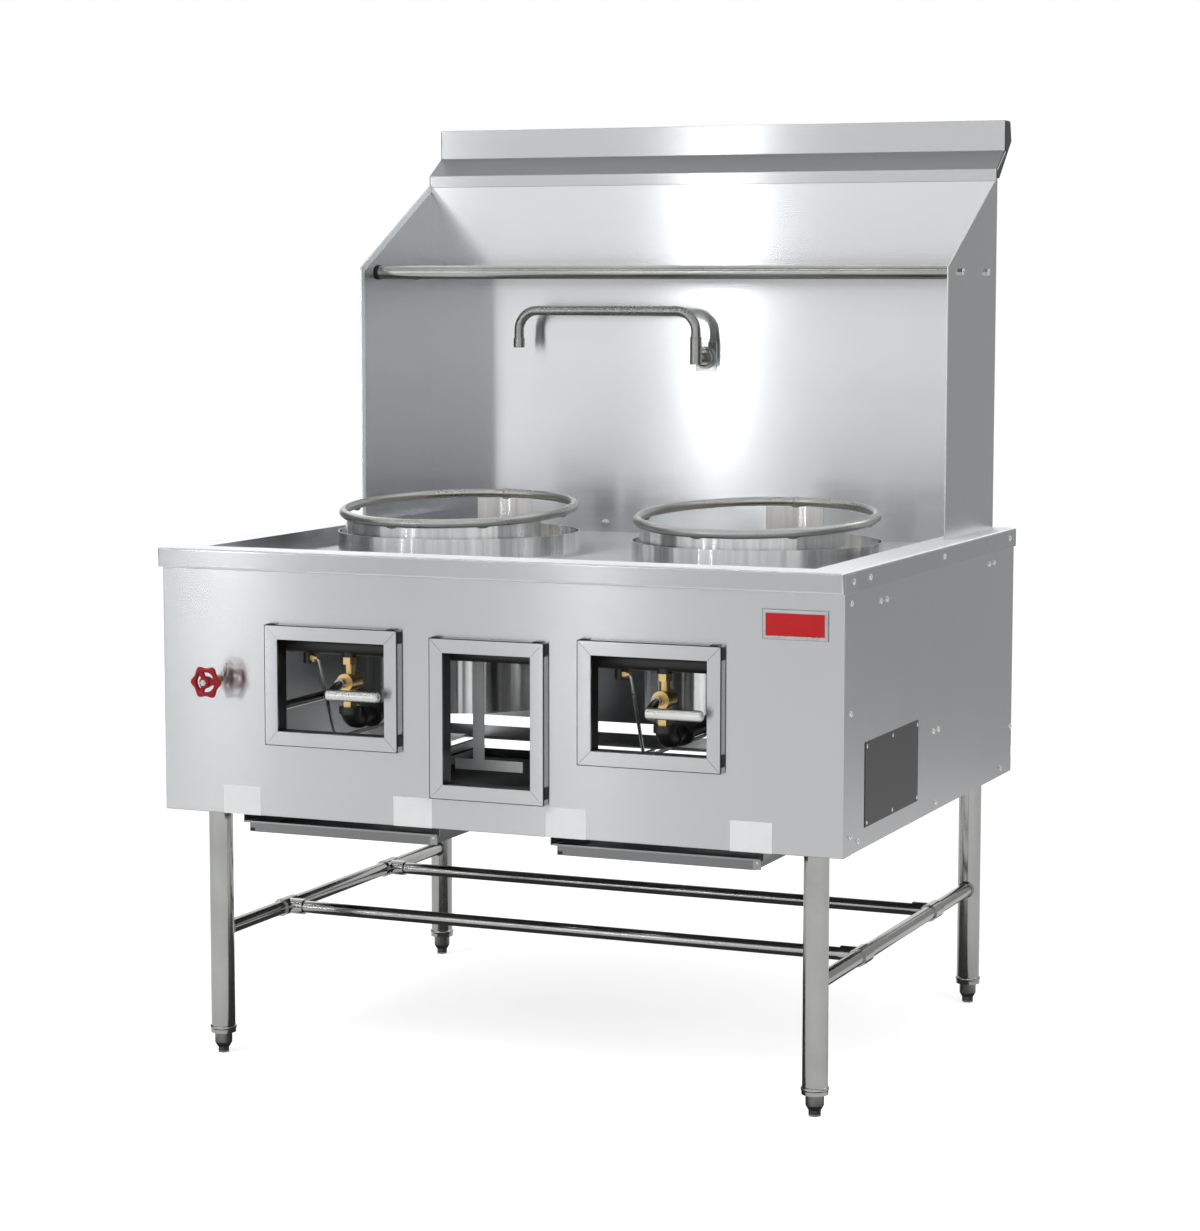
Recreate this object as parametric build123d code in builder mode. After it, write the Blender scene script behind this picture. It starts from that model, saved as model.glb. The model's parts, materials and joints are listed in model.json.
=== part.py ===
from build123d import *
import os
from math import cos, radians, sin, sqrt, tan

# A free-standing wok range with two fire chambers, in millimetres. +Z is up and +X is to the
# right of the cook, who stands on the -Y side. The origin is on the floor, midway between the
# cabinet's sides and midway between its front and rear faces.

os.makedirs("parts", exist_ok=True)

# ---------------------------------------------------------------- driving dimensions

# Cabinet
chamber_pitch = 570.0
chamber_margin = 324.5
body_depth = 980.0
body_bottom = 434.0
rim_top = 884.0
sheet = 1.5
panel_flange = 25.0
panel_return = 40.0
rear_panel_gap = 46.0
rear_rail_ledge = 15.0

# Rim and sunk deck
rim_sheet = 2.0
lip_height = 34.0
lip_overhang = 14.0
rim_flat_side = 64.5
rim_flat_front = 45.0
deck_sink = 32.0

# Cooking positions
deck_hole_radius = 190.0
collar_step = 13.0
collar_height = 35.0
shield_step = 14.0
shield_angle = 140.0
rear_guard_angle = 31.0
ring_step = 3.0
ring_tube_radius = 8.0
ring_centre_above_rim = 43.0
ring_tilt = 3.8
ring_gap = 0.3

# Fire chambers
chamber_step = 4.0
chamber_flange = 12.0
chamber_height = 270.0
lining_thickness_top = 12.0
lining_foot_step = 74.0
lining_top_gap = 4.0
lining_gap = 0.5
lining_joint = 0.6
lining_segments = 8
burner_radius = 90.0
burner_height = 32.0
burner_boss = 10.0
jet_radius = 6.0
jet_height = 22.0
outer_jets = 12
inner_jets = 6
outer_jet_circle = 68.0
inner_jet_circle = 34.0

# Gas line
manifold_radius = 16.7
manifold_rise = 104.0
manifold_inset = 60.0
manifold_overhang = 35.0
manifold_cap = 8.0
gas_pipe_inset = 61.5
gas_stub = 40.0
gas_pipe_wall = 3.0
gas_thread_depth = 0.2
gas_thread_length = 25.0
valve_drop = 61.5
valve_body_radius = 15.0
valve_body_length = 40.0
valve_bonnet_length = 6.0
valve_neck_radius = 9.0
valve_nut_radius = 13.0
valve_lap = 3.0
valve_nut_height = 12.0
stem_radius = 5.0
shaft_gap = 0.05
feed_pipe_lift = 2.5
elbow_radius = 16.0
elbow_bend = 20.0
elbow_neck_height = 22.0
elbow_band_radius = 18.5
elbow_band_length = 12.0
feed_pipe_radius = 14.0
feed_hole_gap = 1.5
air_disc_radius = 21.5
air_disc_setback = 132.0
air_disc_thickness = 10.0
pilot_offset = 60.0
pilot_setback = 85.0
pilot_tube_radius = 3.0
pilot_fitting_radius = 7.0
pilot_fitting_drop = 34.0
pilot_fitting_shift = 20.0
pilot_side_drop = 24.0
pilot_slant = 60.0
pilot_wall = 1.0
pilot_bend = 8.0
pilot_dip = 25.0
pilot_tip_rise = 52.0

# Lever of a gas valve
lever_bar_radius = 7.5
lever_bar_start = 8.0
lever_bar_length = 96.0
lever_bar_drop = 11.0
lever_bar_standoff = 34.0
lever_bend = 12.0
lever_hub_radius = 9.0
lever_hub_length = 12.0
lever_hub_gap = 1.0

# Windows
window_width = 199.0
window_height = 155.0
window_centre = 659.0
middle_window_width = 157.0
middle_window_height = 218.0
middle_window_centre = 619.0
frame_width = 24.0
frame_depth = 20.0
frame_sleeve = 20.0
sleeve_gap = 0.3

# Stand
leg_radius = 20.65
leg_wall = 1.5
leg_side_inset = 67.5
leg_front_inset = 70.0
leg_rear_inset = 36.0
gusset_thickness = 5.0
gusset_reach = 45.0
insert_radius = 21.75
insert_bottom = 36.0
insert_collar = 12.0
insert_depth = 37.0
foot_radius = 15.0
foot_hex_radius = 10.5
foot_hex_height = 10.0
foot_cone_height = 8.0
foot_stem_radius = 8.0
foot_stem_length = 47.0
foot_gap = 0.3
stretcher_radius = 12.7
rail_radius = 11.0
tube_wall = 1.5
rail_height = 215.0
rail_spacing = 406.0
tee_wall = 3.0
tee_sleeve_length = 46.0
tee_stub_length = 20.0

# Drip trays and their runners
tray_width = 344.0
tray_depth = 18.0
tray_lip = 9.5
tray_weld_gap = 0.1
tray_front_inset = 20.0
tray_length = 920.0
tray_drop = 14.0
runner_gap = 0.3
runner_side_gap = 2.0
runner_lip = 8.0

# Backsplash
wing_inset = 38.5
wing_depth = 300.0
wing_slope_rise = 161.0
wing_apex_height = 635.0
wall_setback = 14.0
wall_over_wing = 14.0
wing_corner_radius = 8.0
deflector_foot = 21.0
deflector_rise = 35.0
deflector_run = 53.0
deflector_face = 54.0
deflector_return = 30.0
end_plate_lean = 9.0

# Rack pipes
rack_radius = 12.5
rack_below_corner = 9.0
rack_front_inset = 72.0
rack_spacing = 162.0
rack_plug_length = 12.0
rack_bolt_radius = 4.0
rack_bolt_length = 11.0
bolt_head_radius = 7.0
bolt_head_height = 4.5
bolt_gap = 0.1

# Faucet
faucet_x = 6.0
faucet_standoff = 50.0
faucet_below_rack = 160.0
faucet_flange_radius = 21.0
faucet_flange_thickness = 7.0
faucet_arm_radius = 9.0
faucet_shank_radius = 10.0
faucet_shank_gap = 0.5
faucet_shank_length = 20.0
swivel_radius = 11.0
swivel_below_arm = 12.0
swivel_above_arm = 40.0
spout_radius = 8.0
spout_wall = 1.2
spout_tail = 34.0
spout_rise = 49.0
spout_reach = 364.0
spout_bend = 30.0
nozzle_radius = 9.5
nozzle_drop = 72.0
nozzle_height = 19.0
nozzle_lap = 13.0
nozzle_hole_radius = 6.0

# Water valve and its handwheel
water_gap = 21.0
water_height = 663.0
water_hole_radius = 8.0
water_body_radius = 17.0
water_body_length = 42.0
water_bonnet_radius = 13.0
water_bonnet_length = 9.0
water_port_radius = 12.0
water_port_reach = 35.0
water_pipe_radius = 8.0
water_pipe_wall = 1.0
water_bore_depth = 20.0
wheel_standoff = 42.0
wheel_thickness = 12.0
wheel_radius = 24.0
wheel_lobe_radius = 7.5
wheel_lobe_circle = 21.5
wheel_lobes = 6
wheel_hub_radius = 9.0
wheel_hub_extra = 3.0
wheel_rim_width = 7.0
wheel_spoke_width = 5.0
wheel_nut_radius = 7.0
wheel_nut_height = 5.0
water_outlet_rise = 42.0
water_inlet_drop = 38.0
water_crossing_height = 1000.0
water_riser_gap = 40.0
water_stub = 40.0
water_union_radius = 10.6
water_union_length = 20.0
pipe_bend = 25.0
pipe_hole_gap = 3.0

# Deck drain
drain_x = 55.0
drain_setback = 190.0
drain_flange_radius = 32.0
drain_body_radius = 24.0
drain_body_depth = 22.0
drain_pipe_radius = 19.0
drain_wall = 2.0
drain_outlet_height = 445.0
drain_gap = 0.3
strainer_hole_radius = 3.0
strainer_hole_circle = 12.0
strainer_holes = 6

# Hanger seen in the middle window
hanger_x = -75.0
hanger_inset = 120.0
hanger_width = 20.0
hanger_thickness = 3.0
hanger_foot_height = 18.0
hanger_foot_width = 124.0
hanger_foot_shift = 19.0
hanger_foot_bottom = 516.0

# Plates and fasteners
badge_width = 110.0
badge_height = 48.0
badge_thickness = 3.0
badge_inset = 81.5
badge_drop = 85.0
badge_rim = 4.0
badge_recess = 1.0
data_plate_length = 284.0
data_plate_height = 137.0
data_plate_thickness = 1.0
data_plate_setback = 252.0
data_plate_rise = 101.0
screw_head_radius = 5.0
screw_head_height = 2.6
rivet_head_radius = 3.2
rivet_head_height = 1.4
rivet_edge_distance = 7.0

# ---------------------------------------------------------------- derived places

front_face = -body_depth / 2
rear_face = body_depth / 2
chamber_x = chamber_pitch / 2
chamber_radius = deck_hole_radius + chamber_step
lining_foot_radius = chamber_radius - lining_foot_step
shield_radius = deck_hole_radius + shield_step
collar_radius = shield_radius + collar_step
ring_radius = shield_radius + ring_step
side_face = chamber_x + chamber_margin
body_width = 2 * side_face
side_skin = side_face - sheet
side_inner = side_skin - sheet
sleeve_room = 2 * (sheet + sleeve_gap)
panel_top = rim_top - rim_sheet
deck_top = rim_top - deck_sink
deck_bottom = deck_top - rim_sheet
lip_bottom = rim_top - lip_height
well_half_width = side_face - rim_flat_side
well_front = front_face + rim_flat_front
wall_front = rear_face - wall_setback
wall_back = wall_front + sheet
leg_x = side_face - leg_side_inset
leg_front_y = front_face + leg_front_inset
leg_rear_y = rear_face - leg_rear_inset
leg_middle_y = (leg_front_y + leg_rear_y) / 2
leg_places = [(x, y) for y in (leg_front_y, leg_rear_y) for x in (-leg_x, leg_x)]
ring_centre = rim_top + ring_centre_above_rim
gas_y = front_face + manifold_inset
gas_pipe_side = side_inner - gas_pipe_inset
manifold_left = -chamber_x - pilot_offset - pilot_fitting_shift - manifold_overhang
chamber_bottom = deck_bottom - chamber_height
chamber_floor = chamber_bottom + sheet
elbow_height = chamber_floor + feed_pipe_radius + feed_pipe_lift
elbow_top = elbow_height + elbow_neck_height
manifold_height = elbow_top + manifold_rise
valve_height = manifold_height - valve_drop
burner_front = -burner_radius - burner_boss
water_x = -chamber_x - chamber_radius - water_gap
water_port_top = water_height + water_port_reach
water_port_low = water_height - water_port_reach
water_outlet_height = water_port_top + water_outlet_rise
water_inlet_height = water_port_low - water_inlet_drop
drain_y = front_face + drain_setback
tray_top = body_bottom - tray_drop
wing_face = side_face - wing_inset
wing_apex = rim_top + wing_apex_height
wing_corner = wing_apex - wing_slope_rise
wall_top = wing_apex + wall_over_wing
rack_height = wing_corner - rack_below_corner
faucet_arm_height = rack_height - faucet_below_rack
swivel_bottom = faucet_arm_height - swivel_below_arm
swivel_top = faucet_arm_height + swivel_above_arm
spout_height = swivel_top + spout_rise
nozzle_bottom = spout_height - nozzle_drop
side_names = {-1: "left", 1: "right"}


def save(piece, name):
    """Label a finished piece and write it under its own name."""
    piece.part.label = name
    export_step(piece.part, f"parts/{name}.step")


def slab(x_limits, y_limits, z_limits, mode=Mode.ADD):
    """Add a block to the open part, or cut it away, between three pairs of limits."""
    spans = [sorted(limits) for limits in (x_limits, y_limits, z_limits)]
    centre = tuple((low + high) / 2 for low, high in spans)
    size = tuple(high - low for low, high in spans)
    with Locations(centre):
        Box(*size, mode=mode)


def along_y(x, z, y_from, y_to, radius, bore=0.0, mode=Mode.ADD):
    """Add or cut a round bar, or a tube, that lies along Y."""
    with BuildSketch(Plane.XZ.offset(-y_from)) as section:
        with Locations((x, z)):
            Circle(radius)
            if bore:
                Circle(bore, mode=Mode.SUBTRACT)
    extrude(section.sketch, amount=y_from - y_to, mode=mode)


def along_x(y, z, x_from, x_to, radius, bore=0.0, mode=Mode.ADD):
    """Add or cut a round bar, or a tube, that lies along X."""
    with BuildSketch(Plane.YZ.offset(x_from)) as section:
        with Locations((y, z)):
            Circle(radius)
            if bore:
                Circle(bore, mode=Mode.SUBTRACT)
    extrude(section.sketch, amount=x_to - x_from, mode=mode)


def upright(x, y, z_from, z_to, radius, bore=0.0, mode=Mode.ADD):
    """Add or cut a round bar, or a tube, that stands upright."""
    with BuildSketch(Plane.XY.offset(z_from)) as section:
        with Locations((x, y)):
            Circle(radius)
            if bore:
                Circle(bore, mode=Mode.SUBTRACT)
    extrude(section.sketch, amount=z_to - z_from, mode=mode)


def bent_tube(points, bend_radius, radius, wall=0.0):
    """Add a bent tube, or a solid bar if it has no wall, that follows the points with rounded corners."""
    with BuildLine() as route:
        FilletPolyline(*points, radius=bend_radius)
    with BuildSketch(Plane(route.line @ 0, z_dir=route.line % 0)) as section:
        Circle(radius)
        if wall:
            Circle(radius - wall, mode=Mode.SUBTRACT)
    sweep(section.sketch, path=route.line)


# ---------------------------------------------------------------- cabinet

window_places = [
    ("left", -chamber_x, window_centre, window_width, window_height),
    ("centre", 0.0, middle_window_centre, middle_window_width, middle_window_height),
    ("right", chamber_x, window_centre, window_width, window_height),
]

with BuildPart() as front_panel:
    with BuildSketch(Plane.XZ.offset(-front_face)):
        with Locations((0, (body_bottom + panel_top) / 2)):
            Rectangle(body_width, panel_top - body_bottom)
        for _, window_x, window_z, width, height in window_places:
            with Locations((window_x, window_z)):
                Rectangle(width + sleeve_room, height + sleeve_room, mode=Mode.SUBTRACT)
        with Locations((water_x, water_height)):
            Circle(water_hole_radius, mode=Mode.SUBTRACT)
    extrude(amount=-sheet)
    inner_face = front_face + sheet
    flange_y = (inner_face, front_face + panel_flange)
    slab((-side_inner, side_inner), flange_y, (body_bottom, body_bottom + sheet))
    for side in (-1, 1):
        return_x = (side * side_skin, side * side_face)
        slab(return_x, (inner_face, front_face + panel_return), (body_bottom, panel_top))
save(front_panel, "front_panel")

for side, side_name in side_names.items():
    with BuildPart() as side_panel:
        skin_x = (side * side_inner, side * side_skin)
        slab(skin_x, (front_face + sheet, rear_face - sheet), (body_bottom, panel_top))
        flange_x = (side * (side_skin - panel_flange), side * side_inner)
        flange_y = (front_face + panel_return, rear_face - panel_return)
        slab(flange_x, flange_y, (body_bottom, body_bottom + sheet))
    save(side_panel, f"{side_name}_side_panel")

rear_panel_bottom = body_bottom + rear_panel_gap
with BuildPart() as rear_panel:
    slab((-side_skin, side_skin), (rear_face - sheet, rear_face), (rear_panel_bottom, panel_top))
    for side in (-1, 1):
        return_x = (side * (side_inner - sheet), side * side_inner)
        return_y = (rear_face - panel_flange, rear_face - sheet)
        slab(return_x, return_y, (rear_panel_bottom, deck_bottom))
    pipe_holes = [
        (gas_pipe_side, manifold_height, manifold_radius + pipe_hole_gap),
        (water_x, water_outlet_height, water_pipe_radius + pipe_hole_gap),
        (water_x, water_inlet_height, water_pipe_radius + pipe_hole_gap),
    ]
    for hole_x, hole_z, hole_radius in pipe_holes:
        along_y(hole_x, hole_z, rear_face - sheet, rear_face, hole_radius, mode=Mode.SUBTRACT)
save(rear_panel, "rear_panel")

with BuildPart() as rear_bottom_rail:
    slab((-side_skin, side_skin), (rear_face - sheet, rear_face), (body_bottom, body_bottom + panel_flange))
    ledge_y = (rear_face - rear_rail_ledge, rear_face - sheet)
    slab((-side_inner, side_inner), ledge_y, (body_bottom, body_bottom + sheet))
save(rear_bottom_rail, "rear_bottom_rail")

with BuildPart() as top_rim:
    lip_side = side_face + rim_sheet
    lip_front = front_face - lip_overhang
    lip_rear = rear_face + rim_sheet
    slab((-lip_side, lip_side), (lip_front, lip_rear), (lip_bottom, rim_top))
    slab((-side_face, side_face), (lip_front + rim_sheet, rear_face), (lip_bottom, panel_top), mode=Mode.SUBTRACT)
    slab((-side_face, side_face), (lip_front + rim_sheet, front_face), (lip_bottom, lip_bottom + rim_sheet))
    wall_side = well_half_width + rim_sheet
    slab((-wall_side, wall_side), (well_front - rim_sheet, wall_back + rim_sheet), (deck_bottom, rim_top))
    slab((-well_half_width, well_half_width), (well_front, wall_back), (deck_bottom, rim_top), mode=Mode.SUBTRACT)
save(top_rim, "top_rim")

with BuildPart() as deck_plate:
    with BuildSketch(Plane.XY.offset(deck_bottom)):
        with Locations((0, (well_front + wall_back) / 2)):
            Rectangle(2 * well_half_width, wall_back - well_front)
        with Locations((-chamber_x, 0), (chamber_x, 0)):
            Circle(deck_hole_radius, mode=Mode.SUBTRACT)
        with Locations((drain_x, drain_y)):
            Circle(drain_body_radius + drain_gap, mode=Mode.SUBTRACT)
    extrude(amount=rim_sheet)
save(deck_plate, "deck_plate")

for window_name, window_x, window_z, width, height in window_places:
    with BuildPart() as window_frame:
        with BuildSketch(Plane.XZ.offset(-front_face)):
            with Locations((window_x, window_z)):
                Rectangle(width + 2 * frame_width, height + 2 * frame_width)
                Rectangle(width, height, mode=Mode.SUBTRACT)
        extrude(amount=frame_depth)
        with BuildSketch(Plane.XZ.offset(-front_face)):
            with Locations((window_x, window_z)):
                Rectangle(width + 2 * (frame_width - sheet), height + 2 * (frame_width - sheet))
                Rectangle(width + 2 * sheet, height + 2 * sheet, mode=Mode.SUBTRACT)
        extrude(amount=frame_depth - sheet, mode=Mode.SUBTRACT)
        with BuildSketch(Plane.XZ.offset(-front_face)):
            with Locations((window_x, window_z)):
                Rectangle(width + 2 * sheet, height + 2 * sheet)
                Rectangle(width, height, mode=Mode.SUBTRACT)
        extrude(amount=-frame_sleeve)
    save(window_frame, f"{window_name}_window_frame")

# ---------------------------------------------------------------- cooking positions


def arc_wall(x, centre_angle, span, radius, z_from, z_to):
    """Add a curved sheet wall round a chamber's axis, centred on an angle."""
    start = centre_angle - span / 2
    with BuildSketch(Plane.XY.offset(z_from)) as section:
        with BuildLine():
            outer = CenterArc((x, 0), radius, start, span)
            inner = CenterArc((x, 0), radius - sheet, start, span)
            Line(outer @ 0, inner @ 0)
            Line(outer @ 1, inner @ 1)
        make_face()
    extrude(section.sketch, amount=z_to - z_from)


def under_ring_plane(x):
    """The sloping plane on which a wok ring rests."""
    tilt = radians(ring_tilt)
    drop = (ring_tube_radius + ring_gap) / cos(tilt)
    return Plane(origin=(x, 0, ring_centre - drop), x_dir=(1, 0, 0), z_dir=(0, -sin(tilt), cos(tilt)))


wall_top_limit = ring_centre + ring_radius

for side, side_name in side_names.items():
    centre_x = side * chamber_x

    with BuildPart() as heat_shield:
        arc_wall(centre_x, -90, shield_angle, shield_radius, deck_top, wall_top_limit)
        split(bisect_by=under_ring_plane(centre_x), keep=Keep.BOTTOM)
    save(heat_shield, f"{side_name}_heat_shield")

    with BuildPart() as wok_ring:
        with Locations(Location((centre_x, 0, ring_centre), (ring_tilt, 0, 0))):
            Torus(ring_radius, ring_tube_radius)
    save(wok_ring, f"{side_name}_wok_ring")

with BuildPart() as rear_heat_guards:
    for side in (-1, 1):
        arc_wall(side * chamber_x, 90, rear_guard_angle, shield_radius, deck_top, wall_top_limit)
    guard_plane = under_ring_plane(0)
    split(bisect_by=guard_plane, keep=Keep.BOTTOM)
save(rear_heat_guards, "rear_heat_guards")

with BuildPart() as deck_collars:
    for side in (-1, 1):
        collar_top = deck_top + collar_height
        upright(side * chamber_x, 0, deck_top, collar_top, collar_radius, collar_radius - sheet)
save(deck_collars, "deck_collars")

for side, side_name in side_names.items():
    centre_x = side * chamber_x
    pilot_x = centre_x - pilot_offset

    with BuildPart() as fire_chamber:
        upright(centre_x, 0, chamber_bottom, deck_bottom, chamber_radius, chamber_radius - sheet)
        upright(centre_x, 0, chamber_bottom, chamber_floor, chamber_radius - sheet)
        flange_bottom = deck_bottom - sheet
        upright(centre_x, 0, flange_bottom, deck_bottom, chamber_radius + chamber_flange, chamber_radius - sheet)
        feed_hole = feed_pipe_radius + feed_hole_gap
        along_y(centre_x, elbow_height, -chamber_radius, -chamber_radius / 2, feed_hole, mode=Mode.SUBTRACT)
        pilot_hole = pilot_tube_radius + shaft_gap
        upright(pilot_x, -pilot_setback, chamber_bottom, chamber_floor, pilot_hole, mode=Mode.SUBTRACT)
    save(fire_chamber, f"{side_name}_fire_chamber")

    with BuildPart() as burner:
        burner_top = chamber_floor + burner_height
        upright(centre_x, 0, chamber_floor, burner_top, burner_radius)
        along_y(centre_x, elbow_height, burner_front, 0, feed_pipe_radius)
        with Locations((centre_x, 0, burner_top)):
            with PolarLocations(outer_jet_circle, outer_jets):
                Cylinder(jet_radius, jet_height, align=(Align.CENTER, Align.CENTER, Align.MIN))
            with PolarLocations(inner_jet_circle, inner_jets):
                Cylinder(jet_radius, jet_height, align=(Align.CENTER, Align.CENTER, Align.MIN))
            Cylinder(jet_radius, jet_height, align=(Align.CENTER, Align.CENTER, Align.MIN))
    save(burner, f"{side_name}_burner")

# Each lining is a ring of cast segments that stand side by side, with a joint through every
# second one in line with the axes.
with BuildPart() as chamber_linings:
    lining_outer = chamber_radius - sheet - lining_gap
    lining_top = deck_bottom - lining_top_gap
    lining_knee = chamber_floor + chamber_height / 3
    for side in (-1, 1):
        middle = side * chamber_x
        with BuildSketch(Plane.XZ):
            with BuildLine():
                Polyline(
                    (middle + lining_foot_radius, chamber_floor),
                    (middle + lining_outer, chamber_floor),
                    (middle + lining_outer, lining_top),
                    (middle + lining_outer - lining_thickness_top, lining_top),
                    (middle + lining_foot_radius, lining_knee),
                    close=True,
                )
            make_face()
        revolve(axis=Axis((middle, 0, 0), (0, 0, 1)))
        slot_half = feed_pipe_radius + feed_hole_gap
        slot_x = (side * chamber_x - slot_half, side * chamber_x + slot_half)
        slot_top = elbow_height + slot_half
        slab(slot_x, (-chamber_radius, 0), (chamber_floor, slot_top), mode=Mode.SUBTRACT)
        for joint in range(lining_segments // 2):
            turn = joint * 360 / lining_segments
            with Locations(Location((middle, 0, (chamber_floor + lining_top) / 2), (0, 0, turn))):
                Box(2 * chamber_radius, lining_joint, chamber_height, mode=Mode.SUBTRACT)
save(chamber_linings, "chamber_linings")

with BuildPart() as deck_drain:
    upright(drain_x, drain_y, deck_top, deck_top + sheet, drain_flange_radius)
    cup_bottom = deck_top - drain_body_depth
    upright(drain_x, drain_y, cup_bottom, deck_top, drain_body_radius)
    upright(drain_x, drain_y, drain_outlet_height, cup_bottom, drain_pipe_radius)
    bore_top = deck_top - sheet
    upright(drain_x, drain_y, drain_outlet_height, bore_top, drain_pipe_radius - drain_wall, mode=Mode.SUBTRACT)
    with Locations((drain_x, drain_y, bore_top)):
        with PolarLocations(strainer_hole_circle, strainer_holes):
            hole_height = 2 * sheet
            hole_align = (Align.CENTER, Align.CENTER, Align.MIN)
            Cylinder(strainer_hole_radius, hole_height, align=hole_align, mode=Mode.SUBTRACT)
save(deck_drain, "deck_drain")

with BuildPart() as centre_hanger:
    hanger_y = (front_face + hanger_inset, front_face + hanger_inset + hanger_thickness)
    hanger_left = hanger_x - hanger_width / 2
    foot_left = hanger_x + hanger_foot_shift - hanger_foot_width / 2
    foot_top = hanger_foot_bottom + hanger_foot_height
    slab((hanger_left, hanger_left + hanger_width), hanger_y, (hanger_foot_bottom, deck_bottom))
    slab((foot_left, foot_left + hanger_foot_width), hanger_y, (hanger_foot_bottom, foot_top))
save(centre_hanger, "centre_hanger")

# ---------------------------------------------------------------- gas line

valve_front = gas_y - valve_body_length / 2
bonnet_front = valve_front - valve_bonnet_length
valve_top = manifold_height - manifold_radius - valve_lap

with BuildPart() as gas_manifold:
    manifold_right = gas_pipe_side - 2 * pipe_bend
    along_x(gas_y, manifold_height, manifold_left, manifold_right, manifold_radius)
    for side in (-1, 1):
        upright(side * chamber_x, gas_y, valve_top, manifold_height, valve_nut_radius)
        fitting_x = side * chamber_x - pilot_offset - pilot_fitting_shift
        fitting_bottom = manifold_height - pilot_fitting_drop
        upright(fitting_x, gas_y, fitting_bottom, manifold_height, pilot_fitting_radius)
    bore_radius = manifold_radius - gas_pipe_wall
    bore_left = manifold_left + manifold_cap
    along_x(gas_y, manifold_height, bore_left, manifold_right, bore_radius, mode=Mode.SUBTRACT)
save(gas_manifold, "gas_manifold")

with BuildPart() as gas_inlet_pipe:
    inlet_route = [
        (manifold_right, gas_y, manifold_height),
        (gas_pipe_side, gas_y, manifold_height),
        (gas_pipe_side, rear_face + gas_stub, manifold_height),
    ]
    bent_tube(inlet_route, pipe_bend, manifold_radius, gas_pipe_wall)
    gas_end = rear_face + gas_stub
    thread_radius = manifold_radius - gas_thread_depth
    thread_start = gas_end - gas_thread_length
    outside = manifold_radius + gas_pipe_wall
    along_y(gas_pipe_side, manifold_height, thread_start, gas_end, outside, thread_radius, Mode.SUBTRACT)
save(gas_inlet_pipe, "gas_inlet_pipe")

for side, side_name in side_names.items():
    centre_x = side * chamber_x

    with BuildPart() as gas_valve:
        upright(centre_x, gas_y, elbow_top, valve_top, valve_neck_radius)
        for nut_bottom in (valve_top - valve_nut_height, elbow_top):
            with BuildSketch(Plane.XY.offset(nut_bottom)):
                with Locations((centre_x, gas_y)):
                    RegularPolygon(valve_nut_radius, 6)
            extrude(amount=valve_nut_height)
        along_y(centre_x, valve_height, valve_front, gas_y + valve_body_length / 2, valve_body_radius)
        along_y(centre_x, valve_height, bonnet_front, valve_front, lever_hub_radius)
        bore_radius = stem_radius + shaft_gap
        along_y(centre_x, valve_height, bonnet_front, gas_y, bore_radius, mode=Mode.SUBTRACT)
    save(gas_valve, f"{side_name}_gas_valve")

    bar_y = front_face - lever_bar_standoff
    bar_z = valve_height - lever_bar_drop
    hub_rear = bonnet_front - lever_hub_gap
    hub_front = hub_rear - lever_hub_length
    lever_route = [
        (centre_x + lever_bar_length, bar_y, bar_z),
        (centre_x + lever_bar_start, bar_y, bar_z),
        (centre_x, hub_front + lever_hub_length / 2, valve_height),
    ]
    with BuildPart() as valve_lever:
        bent_tube(lever_route, lever_bend, lever_bar_radius)
        with Locations((centre_x + lever_bar_length, bar_y, bar_z)):
            Sphere(lever_bar_radius)
        along_y(centre_x, valve_height, hub_front, hub_rear, lever_hub_radius)
        along_y(centre_x, valve_height, hub_rear, gas_y - foot_gap, stem_radius)
    save(valve_lever, f"{side_name}_valve_lever")

with BuildPart() as burner_pipes:
    for side in (-1, 1):
        centre_x = side * chamber_x
        elbow_rear = gas_y + 2 * elbow_bend
        elbow_route = [
            (centre_x, gas_y, elbow_top),
            (centre_x, gas_y, elbow_height),
            (centre_x, elbow_rear, elbow_height),
        ]
        bent_tube(elbow_route, elbow_bend, elbow_radius)
        upright(centre_x, gas_y, elbow_top - elbow_band_length, elbow_top, elbow_band_radius)
        band_front = elbow_rear - elbow_band_length
        along_y(centre_x, elbow_height, band_front, elbow_rear, elbow_band_radius)
        along_y(centre_x, elbow_height, elbow_rear, burner_front, feed_pipe_radius)
        disc_front = front_face + air_disc_setback
        along_y(centre_x, elbow_height, disc_front, disc_front + air_disc_thickness, air_disc_radius)
save(burner_pipes, "burner_pipes")

with BuildPart() as pilot_tubes:
    for side in (-1, 1):
        pilot_x = side * chamber_x - pilot_offset
        pilot_start = pilot_x - pilot_fitting_shift + pilot_fitting_radius
        pilot_high = manifold_height - pilot_side_drop
        pilot_low = chamber_bottom - pilot_dip
        pilot_route = [
            (pilot_start, gas_y, pilot_high),
            (pilot_x, gas_y, pilot_high),
            (pilot_x, gas_y + pilot_slant, pilot_low),
            (pilot_x, -pilot_setback, pilot_low),
            (pilot_x, -pilot_setback, chamber_bottom + pilot_tip_rise),
        ]
        bent_tube(pilot_route, pilot_bend, pilot_tube_radius, pilot_wall)
save(pilot_tubes, "pilot_tubes")

# ---------------------------------------------------------------- water line

water_body_front = front_face + sheet + water_bonnet_length
water_port_y = water_body_front + water_body_length / 2

with BuildPart() as water_valve:
    along_y(water_x, water_height, water_body_front, water_body_front + water_body_length, water_body_radius)
    with BuildSketch(Plane.XZ.offset(-(front_face + sheet))):
        with Locations((water_x, water_height)):
            RegularPolygon(water_bonnet_radius, 6)
    extrude(amount=-water_bonnet_length)
    upright(water_x, water_port_y, water_port_low, water_port_top, water_port_radius)
    stem_end = water_body_front + water_bore_depth
    bore_radius = stem_radius + shaft_gap
    along_y(water_x, water_height, front_face + sheet, stem_end, bore_radius, mode=Mode.SUBTRACT)
save(water_valve, "water_valve")

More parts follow.
